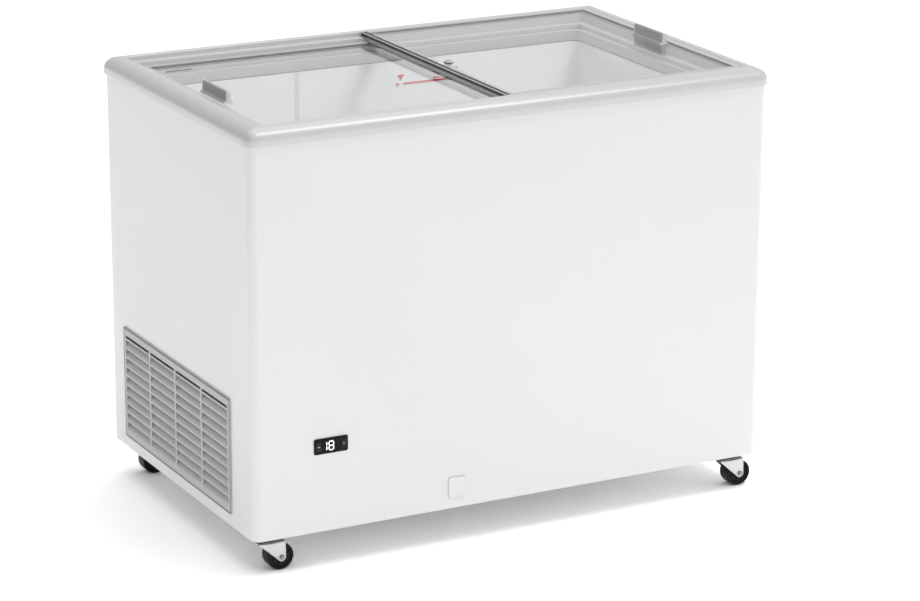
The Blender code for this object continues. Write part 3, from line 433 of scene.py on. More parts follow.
def build_tub():
    """The white liner: a deep well and a step, with rounded corners, open at the top."""
    t0, t1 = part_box("inner_liner")
    wall = 0.002
    step_x, step_z = -0.150, 0.392
    x0, x1, y0, y1 = t0.x + wall, t1.x - wall, t0.y + wall, t1.y - wall
    floor, top = t0.z + wall, t1.z
    bm = bmesh.new()
    well = [(x0, top), (x0, step_z), (step_x, step_z), (step_x, floor), (x1, floor), (x1, top)]
    prism(bm, well, "Y", y0, y1)
    soft = [e for e in bm.edges if not all(abs(v.co.z - top) < 1e-6 for v in e.verts)]
    bmesh.ops.bevel(bm, geom=soft, offset=0.020, segments=6, profile=0.5, affect="EDGES", clamp_overlap=True)
    bmesh.ops.delete(bm, geom=[f for f in bm.faces if all(abs(v.co.z - top) < 1e-6 for v in f.verts)],
                     context="FACES")
    bmesh.ops.recalc_face_normals(bm, faces=bm.faces)
    tub = add("tub_liner", bm, LINER, "cabinet", ("inner_liner",), fix=False, sharp=60)
    sheet = tub.modifiers.new("wall", "SOLIDIFY")
    sheet.thickness = 0.0015
    sheet.offset = 1.0
    seam_x = -0.158
    bm = bmesh.new()
    strip = [(seam_x - 0.012, y1 + 0.0001), (seam_x - 0.006, y1 - 0.0002), (seam_x - 0.001, y1 - 0.0007),
             (seam_x, y1 - 0.0008), (seam_x + 0.0008, y1 - 0.0005), (seam_x + 0.0010, y1 + 0.0001)]
    prism(bm, strip, "Z", step_z + 0.03, top - 0.001)
    add("liner_seam", bm, LINER, "cabinet", sharp=70)

    c0, c1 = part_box("tub_collar")
    wide = 0.0105
    bm = bmesh.new()
    section = [(0, c0.z), (0, c1.z - 0.0008), (0.0008, c1.z), (wide - 0.0015, c1.z),
               (wide - 0.0004, c1.z - 0.0004), (wide, c1.z - 0.0015), (wide, c0.z + 0.0030),
               (wide - 0.0006, c0.z + 0.0012), (wide - 0.0018, c0.z)]
    ring(bm, section, c0.x, c1.x, c0.y, c1.y, 0.026, 8)
    add("tub_collar_ring", bm, COLLAR, "cabinet", ("tub_collar",))
    bm = bmesh.new()
    face, z = FRAME_Y - RAIL_WIDTH, RAIL_BASE
    block(bm, (-0.423, face - 0.0004, z + 0.0024), (-0.372, face + 0.0005, z + 0.0052))
    add("rail_slot", bm, GASKET, "cabinet", bevel=0.0001)

    bar = rounded_rect(0.062, 0.161, 0.7102, 0.7134, 0.0008, 3)
    arrow = [(0.050, 0.7300), (0.064, 0.7300), (0.057, 0.7180)]
    dot = rounded_rect(0.047, 0.053, 0.7090, 0.7140, 0.0008, 3)
    dashes = [rounded_rect(x, x + 0.0045, 0.7160, 0.7185, 0.0006, 3)
              for x in (0.128 + 0.007 * k for k in range(5))]
    bm = bmesh.new()
    for mark in (bar, arrow, dot, *dashes):
        prism(bm, mark, "Y", y1 - 0.0004, y1)
    add("load_line_mark", bm, RED, "cabinet")


def rail_section():
    """A frame rail's outline: a short skirt, a quarter-round crown, and two steps for the lids."""
    z0, z1 = RAIL_BASE, RAIL_TOP
    points = [(0.0006, z0), (0.0001, z0 + 0.0006), (0, z0 + 0.0014)]
    skirt, start = 0.010, 0.029
    rise = z1 - z0 - skirt
    for k in range(25):
        turn = math.pi / 2 * k / 24
        points.append((start * (1 - math.cos(turn)), z0 + skirt + rise * math.sin(turn)))
    points += [(0.0320, z1 - 0.00005), (0.0342, z1 - 0.0003), (0.0355, z1 - 0.0011), (0.0360, z1 - 0.0024),
               (0.0360, z0 + 0.0236), (0.0364, z0 + 0.0230), (0.0520, z0 + 0.0230), (0.0530, z0 + 0.0226),
               (RAIL_STEP, z0 + 0.0216), (RAIL_STEP, z0 + 0.0086), (0.0539, z0 + 0.0080),
               (0.0688, z0 + 0.0080), (0.0697, z0 + 0.0077), (RAIL_WIDTH, z0 + 0.0070),
               (RAIL_WIDTH, z0), (0.0090, z0),
               (0.0090, z0 + 0.0075), (0.0045, z0 + 0.0075), (0.0045, z0)]
    return points


def build_rails():
    """Four mitred rails; those along Y take the darker copy of the frame grey, a painted shade. The low ledge
    inside each has the collar's colour.
    """
    for name, angle, length, depth, mat in (("front", 0, FRAME_X, FRAME_Y, FRAME_ALONG_X),
                                            ("right", 90, FRAME_Y, FRAME_X, FRAME_ALONG_Y_SHADED),
                                            ("rear", 180, FRAME_X, FRAME_Y, FRAME_ALONG_X),
                                            ("left", 270, FRAME_Y, FRAME_X, FRAME_ALONG_Y_SHADED)):
        c, s = math.cos(math.radians(angle)), math.sin(math.radians(angle))
        rows = []
        for offset, height in rail_section():
            radius = max(CORNER_RADIUS + OVERHANG - offset, 0.0012)
            ex, ey = length - offset, -(depth - offset)
            right = arc(ex - radius, ey + radius, radius, 270, 315, 8)
            right[-1] = (right[-1][0] - 0.00012, right[-1][1])
            line = [(-x, y) for x, y in reversed(right)] + right
            rows.append([(x * c - y * s, x * s + y * c, height) for x, y in line])
        bm = bmesh.new()
        skin(bm, rows, caps=True)
        rail = add(f"{name}_rail", bm, mat, "cabinet", (f"frame_{name}",), sharp=40)
        rail.data.materials.append(COLLAR)
        for polygon in rail.data.polygons:
            spot = polygon.center
            inset = min(FRAME_X - abs(spot.x), FRAME_Y - abs(spot.y))
            if inset > RAIL_STEP + 0.0003 and spot.z < RAIL_BASE + 0.009:
                polygon.material_index = 1


# ---- lids
def channel(width, height):
    """A U-shaped trim's outline: (distance from its closed side, height), with rounded outer edges."""
    lip, wall, r = 0.002, 0.002, 0.0011
    lower = [(width - 0.0003, 0), (r, 0), (r * 0.3, r * 0.3), (0, r)]
    upper = [(0, height - r), (r * 0.3, height - r * 0.3), (r, height), (width - 0.0005, height),
             (width, height - 0.0005), (width, height - lip + 0.0003)]
    return lower + upper + [(wall, height - lip + 0.0003), (wall, lip - 0.0003), (width, lip - 0.0003),
                            (width, 0.0003)]


def trim_piece(name, part, along, toward, mat, body, start=None):
    """A channel in a CAD trim's place. toward is the side its mouth faces, -1 or 1."""
    n0, n1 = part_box(part)
    (a0, a1), (b0, b1) = ((n0.y, n1.y), (n0.x, n1.x)) if along == "X" else ((n0.x, n1.x), (n0.y, n1.y))
    b0 = b0 if start is None else start
    outline = []
    for distance, height in channel(a1 - a0, n1.z - n0.z):
        where = a0 + distance if toward > 0 else a1 - distance
        outline.append((where, n0.z + height))
    bm = bmesh.new()
    prism(bm, outline, along, b0, b1)
    add(name, bm, mat, body, (part,))


def build_pane(side):
    body = f"{side}_lid"
    g0, g1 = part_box(f"{side}_lid_glass")
    bm = bmesh.new()
    block(bm, g0, g1)
    bmesh.ops.bevel(bm, geom=list(bm.edges), offset=0.0005, segments=1, affect="EDGES")
    pane = add(f"{side}_pane", bm, GLASS, body, (f"{side}_lid_glass",), sharp=20)
    if side == "right":
        spot = middle("lid_lock_barrel")
        hole = bmesh.new()
        lathe(hole, [(0.0068, -0.01), (0.0068, 0.01)], (spot.x, spot.y, g0.z), "Z", 48)
        cut(pane, [hole])
    for polygon in pane.data.polygons:
        polygon.material_index = 0 if abs(polygon.normal.z) > 0.9 else 1
    pane.data.materials.append(GLASS_EDGE)


def build_gasket(side, x0, x1, y0, y1, base, top):
    """The dark lip of the trims that lies on the pane, all round its visible part."""
    bm = bmesh.new()
    ring(bm, [(0, base), (0, top - 0.0006), (0.0003, top - 0.0004), (0.0008, base + 0.0003), (0.0010, base)],
         x0, x1, y0, y1, 0.0008, 2)
    add(f"{side}_lid_gasket", bm, LIP, f"{side}_lid")


def build_handle(side):
    """An upright fin on a flared foot, with a moulded cap at each end; the grey fin and white caps are shaded
    and lit copies of one finish.
    """
    body = f"{side}_lid"
    h0, h1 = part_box(f"{side}_lid_handle")
    cx, base, height = middle(f"{side}_lid_handle").x, h0.z, h1.z - h0.z
    foot, fin, cap = 0.009, 0.00425, 0.0035

    def outline(extra):
        right = [(foot, 0), (foot, 0.0011), (foot - 0.0005, 0.0018), (foot - 0.0014, 0.0022)]
        flare = foot - 0.0014 - fin
        right += [(fin + flare * (1 - math.sin(t)), 0.0022 + 0.0048 * (1 - math.cos(t)))
                  for t in (math.radians(15 * k) for k in range(1, 7))]
        right += [(fin - 0.0002, height * 0.62)]
        r = 0.0026
        right += arc(fin - 0.0004 - r, height - r, r, 0, 90, 6)
        right = [(x + extra if k > 0 else x, z) for k, (x, z) in enumerate(right)]
        return [(cx + x, base + z) for x, z in right] + [(cx - x, base + z) for x, z in reversed(right)]
    # Painted shade on the fin, painted light on the end caps: two tones for one finish.
    bm = bmesh.new()
    prism(bm, outline(-0.0002), "Y", h0.y + cap, h1.y - cap)
    add(f"{side}_handle_bar", bm, HANDLE_GREY_PAINTED_SHADE, body, (f"{side}_lid_handle",))
    bm = bmesh.new()
    prism(bm, outline(0.0), "Y", h0.y, h0.y + cap - 0.0002)
    prism(bm, outline(0.0), "Y", h1.y - cap + 0.0002, h1.y)
    add(f"{side}_handle_ends_painted_light", bm, WHITE_AND_PAINTED_LIGHT, body, bevel=0.0006, segments=3)


def build_lids():
    for side in ("left", "right"):
        body = f"{side}_lid"
        build_pane(side)
        build_handle(side)
        outer = 1 if side == "left" else -1
        front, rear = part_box(f"{side}_lid_front_trim"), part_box(f"{side}_lid_rear_trim")
        end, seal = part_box(f"{side}_lid_end_profile"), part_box(f"{side}_lid_seal_profile")
        start = seal[0].x + 0.0102 if side == "right" else None
        trim_piece(f"{side}_front_trim", f"{side}_lid_front_trim", "X", 1, TRIM, body, start)
        trim_piece(f"{side}_rear_trim", f"{side}_lid_rear_trim", "X", -1, TRIM, body, start)
        trim_piece(f"{side}_end_trim", f"{side}_lid_end_profile", "Y", outer, ALUMINIUM, body)
        glass_top = high(f"{side}_lid_glass").z
        inner = sorted((end[1].x, seal[0].x)) if side == "left" else sorted((seal[0].x + 0.0102, end[0].x))
        build_gasket(side, inner[0] + 0.0001, inner[1] - 0.0001, front[1].y + 0.0001, rear[0].y - 0.0001,
                     glass_top + 0.0001, front[1].z - 0.0002)
    trim_piece("left_seal", "left_lid_seal_profile", "Y", -1, TRIM, "left_lid")
    build_divider()


def build_divider():
    """The right lid's inner end: a dark carrier, a pale strip along its edge that is a painted highlight, a
    soft lip below, end caps.
    """
    s0, s1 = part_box("right_lid_seal_profile")
    f0, r1 = low("right_lid_front_trim"), high("right_lid_rear_trim")
    glass0, glass1 = low("right_lid_glass").z, high("right_lid_glass").z
    left, right = s0.x, s1.x
    top = high("right_lid_front_trim").z
    cap, highlight_wide = 0.0016, 0.0016
    side = left + 0.0019
    carrier = [(right, glass1 + 0.0003), (right, top - 0.0012), (right - 0.0010, top - 0.0004),
               (left + 0.0064, top - 0.0002), (left + 0.0058, top - 0.0008), (left + 0.0052, top - 0.0002),
               (left + highlight_wide + 0.0002, top - 0.0002), (left + highlight_wide + 0.0002, top - 0.0018),
               (left + 0.0002, top - 0.0018), (left, top - 0.0022), (left, glass0 - 0.0006),
               (left + 0.0004, glass0 - 0.0010), (side, glass0 - 0.0010), (side, glass1 + 0.0003)]
    bm = bmesh.new()
    prism(bm, carrier, "Y", f0.y + cap, r1.y - cap)
    add("divider_carrier", bm, SEAL, "right_lid", ("right_lid_seal_profile",))
    # Painted highlight: a pale strip along the carrier's upper edge stands for the light line where that edge
    # catches the light.
    bm = bmesh.new()
    highlight_strip = [(left, top - 0.0017), (left + highlight_wide, top - 0.0017), (left + highlight_wide, top - 0.0003),
            (left + highlight_wide - 0.0004, top), (left + 0.0005, top), (left, top - 0.0005)]
    prism(bm, highlight_strip, "Y", f0.y + cap, r1.y - cap)
    add("divider_painted_highlight", bm, PALE_GREY_AND_PAINTED_HIGHLIGHT, "right_lid")
    bm = bmesh.new()
    skirt = [(left + 0.0003, glass0 - 0.0012), (left + 0.0018, glass0 - 0.0012),
             (left + 0.0018, s0.z + 0.0008), (left + 0.0012, s0.z), (left + 0.0004, s0.z),
             (left + 0.0001, s0.z + 0.0006)]
    prism(bm, skirt, "Y", s0.y, s1.y)
    add("divider_skirt", bm, SOFT_LIP, "right_lid")
    bm = bmesh.new()
    lower = [(side + 0.0002, glass0 - 0.0001), (right, glass0 - 0.0001), (right, glass0 - 0.0012),
             (right - 0.0005, glass0 - 0.0016), (side + 0.0002, glass0 - 0.0016)]
    prism(bm, lower, "Y", s0.y, s1.y)
    add("divider_foot", bm, SEAL, "right_lid")
    bm = bmesh.new()
    tape = [(right + 0.0002, glass1 + 0.00008), (right + 0.0115, glass1 + 0.00008),
            (right + 0.0118, glass1 + 0.0003), (right + 0.0110, glass1 + 0.0004),
            (right + 0.0002, glass1 + 0.0004)]
    spot = middle("lid_lock_barrel")
    prism(bm, tape, "Y", s0.y, spot.y - 0.011)
    prism(bm, tape, "Y", spot.y + 0.011, s1.y)
    add("divider_tape", bm, FILM, "right_lid")
    for end, y0, y1, mat in (("front", f0.y, f0.y + cap, WHITE_AND_PAINTED_LIGHT), ("rear", r1.y - cap, r1.y, PALE_GREY_AND_PAINTED_HIGHLIGHT)):
        bm = bmesh.new()
        block(bm, (left, y0, glass0 - 0.0015), (right, y1, top))
        add(f"divider_cap_{end}", bm, mat, "right_lid", bevel=0.0004)


def build_lock():
    """A barrel through the pane, the cam that turns in it, and the keeper on the left lid."""
    spot, barrel_foot = middle("lid_lock_barrel"), low("lid_lock_barrel").z
    z = high("right_lid_glass").z
    bm = bmesh.new()
    profile = [(0.0060, barrel_foot - z), (0.0065, barrel_foot - z), (0.0065, 0.0003), (0.0086, 0.0003),
               (0.0088, 0.0007), (0.0088, 0.0022), (0.0086, 0.0032), (0.0082, 0.0038), (0.0077, 0.0041),
               (0.0070, 0.0042), (0.0063, 0.0040), (0.0060, 0.0034)]
    place = (spot.x, spot.y, z)
    lathe(bm, profile, place, "Z", 48, closed=True)
    add("lock_collar", bm, WHITE_AND_PAINTED_LIGHT, "right_lid", ("lid_lock_barrel",), sharp=50)
    bm = bmesh.new()
    for r0, r1, z0, z1 in ((0.0090, 0.0096, 0.0001, 0.0008), (0.0044, 0.0059, 0.0004, 0.0026)):
        lathe(bm, [(r0, z0), (r1, z0), (r1, z1), (r0, z1)], place, "Z", 48, closed=True)
    add("lock_washer", bm, GASKET, "right_lid")

    c0, c1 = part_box("lid_lock_cam")
    thick = 0.002
    bm = bmesh.new()
    arm = arc(spot.x, spot.y, 0.0041, 60, 300, 14)
    arm += [(c1.x - 0.003, spot.y - 0.0032), *arc(c1.x - 0.003, spot.y, 0.0030, -80, 80, 8),
            (c1.x - 0.003, spot.y + 0.0032)]
    prism(bm, arm, "Z", c0.z, c0.z + thick)
    lathe(bm, [(0.0041, c0.z + thick - z + 0.0001), (0.0041, 0.0026)], place, "Z", 40)
    for start in (-20, 160):
        half_moon = arc(spot.x, spot.y, 0.0041, start + 14, start + 166, 16)
        prism(bm, half_moon, "Z", z + 0.00265, z + 0.0043)
    add("lock_core", bm, ZINC, "lock_cam", ("lid_lock_cam",), sharp=30)
    bm = bmesh.new()
    lathe(bm, [(0.0040, 0.00262), (0.0040, 0.0029)], place, "Z", 40)
    add("lock_keyway", bm, GASKET, "lock_cam")

    k0, k1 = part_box("lock_striker")
    bm = bmesh.new()
    hook = [(k0.x, k0.z), (k1.x, k0.z), (k1.x, k1.z), (k1.x - 0.0022, k1.z), (k1.x - 0.0022, k0.z + 0.0020),
            (k0.x, k0.z + 0.0016)]
    prism(bm, hook, "Y", k0.y, k1.y)
    add("lock_keeper", bm, ZINC, "left_lid", ("lock_striker",), bevel=0.0004)


# ---- grille, controller, drain
def build_grille():
    """A moulded plate: four columns of curved louvres under a row of open slots."""
    g0, g1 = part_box("side_grille")
    outer, back = g0.x, -HALF_X - 0.0002
    depth = 0.0088
    edge, bar = 0.0105, 0.0065
    columns, rows = 4, 10
    top_row = g1.z - 0.0150
    slot_height = 0.0052
    foot = g0.z + 0.0125
    pitch = (top_row - slot_height - 0.0035 - foot) / rows
    lip = 0.0036
    width = (g1.y - g0.y - 2 * edge - (columns - 1) * bar) / columns
    bm = bmesh.new()

    def place(u, v, d):
        return (outer + d, u, v)
    cells, slots = [], []
    for column in range(columns):
        y0 = g0.y + edge + column * (width + bar)
        slots.append((y0, y0 + width, top_row - slot_height, top_row))
        for row in range(rows):
            zt = top_row - slot_height - 0.0035 - pitch * row
            cells.append((y0, y0 + width, zt - pitch + lip, zt))
    perforated(bm, place, ((g0.y + 0.0012, g1.y - 0.0012), (g0.z + 0.0012, g1.z - 0.0012)), cells + slots,
               0.0, 0.0022)
    steps = 8
    for y0, y1, z0, z1 in cells:
        blade = []
        for k in range(steps + 1):
            t = k / steps
            blade.append((0.0002 + depth * t ** 1.35, z0 + (z1 - z0 - 0.0024) * t))
        thick = 0.0011
        outline = [(outer + d, z) for d, z in blade]
        outline += [(outer + d + thick, z - 0.0004) for d, z in reversed(blade)]
        prism(bm, outline, "Y", y0, y1)
        for y in (y0, y1):
            cheek = [(outer + 0.002, z0), *[(outer + d, z) for d, z in blade], (outer + depth, z1),
                     (outer + 0.002, z1)]
            wall = 0.0006 if y == y0 else -0.0006
            prism(bm, cheek, "Y", y - wall, y + wall * 0.1)
    add("vent_grille", bm, GRILLE, "cabinet", ("side_grille",), sharp=40)
    bm = bmesh.new()
    section = [(0.0, back), (0.0, outer + 0.0009), (0.0003, outer + 0.0002), (0.0010, outer), (0.0030, outer),
               (0.0030, outer + 0.0020), (0.0030, back)]
    rows = []
    for inset, x in section:
        loop = rounded_rect(g0.y + inset, g1.y - inset, g0.z + inset, g1.z - inset,
                            0.0035 - min(inset, 0.003), 5)
        rows.append([(x, y, z) for y, z in loop])
    skin(bm, rows, wrap_cols=True)
    add("vent_grille_rim", bm, GRILLE, "cabinet", sharp=45)
    bm = bmesh.new()
    block(bm, (-HALF_X + 0.0068, g0.y + 0.010, g0.z + 0.010), (-HALF_X + 0.0088, g1.y - 0.010, g1.z - 0.010))
    add("dust_filter", bm, DARK, "cabinet", bevel=0.0004)


SEGMENTS = {"a": (0, 2, 1, 2), "b": (1, 1, 1, 2), "c": (1, 0, 1, 1), "d": (0, 0, 1, 0), "e": (0, 0, 0, 1),
            "f": (0, 1, 0, 2), "g": (0, 1, 1, 1)}


def draw_digit(bm, x, z, width, height, stroke, which, y0, y1):
    """A seven-segment digit whose lower left corner is at (x, z)."""
    half = height / 2
    for name in which:
        c0, r0, c1, r1 = SEGMENTS[name]
        ax, az, bx, bz = x + c0 * width, z + r0 * half, x + c1 * width, z + r1 * half
        gap, h = stroke * 0.25, stroke / 2
        if az == bz:
            shape = [(ax + gap, az), (ax + gap + h, az - h), (bx - gap - h, az - h), (bx - gap, az),
                     (bx - gap - h, az + h), (ax + gap + h, az + h)]
        else:
            shape = [(ax, az + gap), (ax + h, az + gap + h), (ax + h, bz - gap - h), (ax, bz - gap),
                     (ax - h, bz - gap - h), (ax - h, az + gap + h)]
        prism(bm, shape, "Y", y0, y1)


def build_controller():
    c0, c1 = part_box("controller_bezel")
    x, z = middle("controller_bezel").x, middle("controller_bezel").z
    front, back = c0.y, c1.y
    half_x, half_z = (c1.x - c0.x) / 2, (c1.z - c0.z) / 2
    bm = bmesh.new()
    rows = []
    for inset, y in ((0.0, back), (0.0, front + 0.0010), (0.0003, front + 0.0004), (0.0010, front)):
        loop = rounded_rect(x - half_x + inset, x + half_x - inset, z - half_z + inset, z + half_z - inset,
                            0.0034 - inset, 6)
        rows.append([(px, y, pz) for px, pz in loop])
    stack(bm, rows)
    bezel = add("display_bezel", bm, GLOSS_BLACK, "cabinet", ("controller_bezel",))
    holes = []
    for side in ("set_key", "up_key"):
        k0, k1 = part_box(side)
        hole = bmesh.new()
        prism(hole, rounded_rect(k0.x - 0.0003, k1.x + 0.0003, k0.z - 0.0003, k1.z + 0.0003, 0.0012, 4), "Y",
              front - 0.002, back + 0.002)
        holes.append(hole)
        bm = bmesh.new()
        prism(bm, rounded_rect(k0.x, k1.x, k0.z, k1.z, 0.0010, 4), "Y", k0.y, k1.y)
        add(f"{side}_cap", bm, KEY_BLACK, side, (side,), bevel=0.0004)
        bm = bmesh.new()
        kx, kz = middle(side).x, middle(side).z
        if side == "set_key":
            symbol = rounded_rect(kx - 0.0024, kx + 0.0024, kz - 0.0006, kz + 0.0006, 0.0003, 2)
        else:
            symbol = [(kx - 0.0022, kz - 0.0005), (kx - 0.0012, kz - 0.0005), (kx, kz + 0.0009),
                      (kx + 0.0012, kz - 0.0005), (kx + 0.0022, kz - 0.0005), (kx, kz + 0.0021)]
        prism(bm, symbol, "Y", k0.y - 0.00006, k0.y + 0.0002)
        add(f"{side}_symbol", bm, MARK_AND_SHADOW_GREY, side)
    cut(bezel, holes)
    bm = bmesh.new()
    prism(bm, rounded_rect(x - 0.0175, x + 0.0155, z - half_z + 0.0022, z + half_z - 0.0022, 0.001, 4), "Y",
          front - 0.00012, front + 0.0004)
    add("display_window", bm, WINDOW_BLACK, "cabinet")
    bm = bmesh.new()
    y0, y1 = front - 0.00026, front + 0.0002
    draw_digit(bm, x - 0.0156, z - 0.0080, 0.0068, 0.0160, 0.0020, "bc", y0, y1)
    draw_digit(bm, x - 0.0044, z - 0.0080, 0.0088, 0.0160, 0.0020, "abcdefg", y0, y1)
    add("display_digits", bm, DIGIT, "cabinet")


def build_drain_cover():
    """A white snap-on cover: chamfered below, a raised panel, and a finger lip along its foot."""
    d0, d1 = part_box("drain_cover")
    x, z = middle("drain_cover").x, middle("drain_cover").z
    hx, hz = (d1.x - d0.x) / 2, (d1.z - d0.z) / 2
    front, back = d0.y, -HALF_Y - 0.0003

    def outline(inset, chamfer):
        hi, wi = hz - inset, hx - inset
        narrow = wi - chamfer * 0.75
        return [(x - wi, z - hi + chamfer), (x - narrow, z - hi), (x + narrow, z - hi),
                (x + wi, z - hi + chamfer), (x + wi, z + hi - 0.0012), (x + wi - 0.0012, z + hi),
                (x - wi + 0.0012, z + hi), (x - wi, z + hi - 0.0012)]
    bm = bmesh.new()
    rows = []
    for inset, y in ((0.0, back), (0.0, front + 0.0014), (0.0004, front + 0.0008), (0.0011, front + 0.0006),
                     (0.0030, front + 0.0006), (0.0036, front + 0.0010), (0.0046, front + 0.0010)):
        rows.append([(px, y, pz) for px, pz in outline(inset, 0.0042)])
    stack(bm, rows)
    lathe(bm, [(0.0079, 0.0), (0.0079, d1.y - back - 0.0006), (0.0073, d1.y - back)], (x, back, z), "Y", 32)
    lip = [(front + 0.0010, z - hz + 0.0062), (front + 0.0001, z - hz + 0.0056), (front, z - hz + 0.0040),
           (front + 0.0004, z - hz + 0.0028), (front + 0.0010, z - hz + 0.0024)]
    prism(bm, lip, "X", x - hx + 0.005, x + hx - 0.005)
    add("drain_door", bm, WHITE_ABS, "drain_cover", ("drain_cover",), sharp=40)
    # Painted shadow: a grey strip under the finger lip and another down the right edge stand for the shade in
    # the gaps there.
    bm = bmesh.new()
    block(bm, (d0.x + 0.0055, front + 0.0004, d0.z + 0.0014), (d1.x - 0.0055, front + 0.0011, d0.z + 0.0024))
    block(bm, (d1.x - 0.0006, front + 0.0018, d0.z + 0.0050), (d1.x + 0.0001, back - 0.0003, d1.z - 0.0020))
    add("drain_door_painted_shadow", bm, MARK_AND_SHADOW_GREY, "drain_cover")

    spot, base = middle("drain_plug"), low("drain_plug").z
    tall = high("drain_plug").z - base
    bm = bmesh.new()
    lathe(bm, [(0.0062, 0.0), (0.0070, 0.0006), (0.0072, 0.0042), (0.0126, 0.0044), (0.0130, 0.0048),
               (0.0130, 0.0066), (0.0122, 0.0074), (0.0098, tall - 0.0004), (0.0090, tall), (0.0040, tall),
               (0.0034, tall - 0.0012)], (spot.x, spot.y, base), "Z", 40)
    add("tub_plug", bm, PLASTIC_BLACK, "drain_plug", ("drain_plug",))

    spot, foot = middle("cable_gland"), low("cable_gland").y
    bm = bmesh.new()
    lathe(bm, [(0.0088, foot - HALF_Y), (0.0088, 0.0003), (0.0120, 0.0003), (0.0125, 0.0009),
               (0.0125, 0.0026), (0.0118, 0.0032), (0.0102, 0.0036), (0.0096, 0.0045),
               (0.0050, 0.0045), (0.0046, 0.0030)],
          (spot.x, HALF_Y, spot.z), "Y", 40)
    for k in range(10):
        turn = 2 * math.pi * k / 10
        gx, gz = spot.x + 0.0108 * math.cos(turn), spot.z + 0.0108 * math.sin(turn)
        lathe(bm, [(0.0010, 0.0030), (0.0010, 0.0042), (0.0006, 0.0045)], (gx, HALF_Y, gz), "Y", 8)
    add("gland_nut", bm, PLASTIC_BLACK, "cabinet", ("cable_gland",))


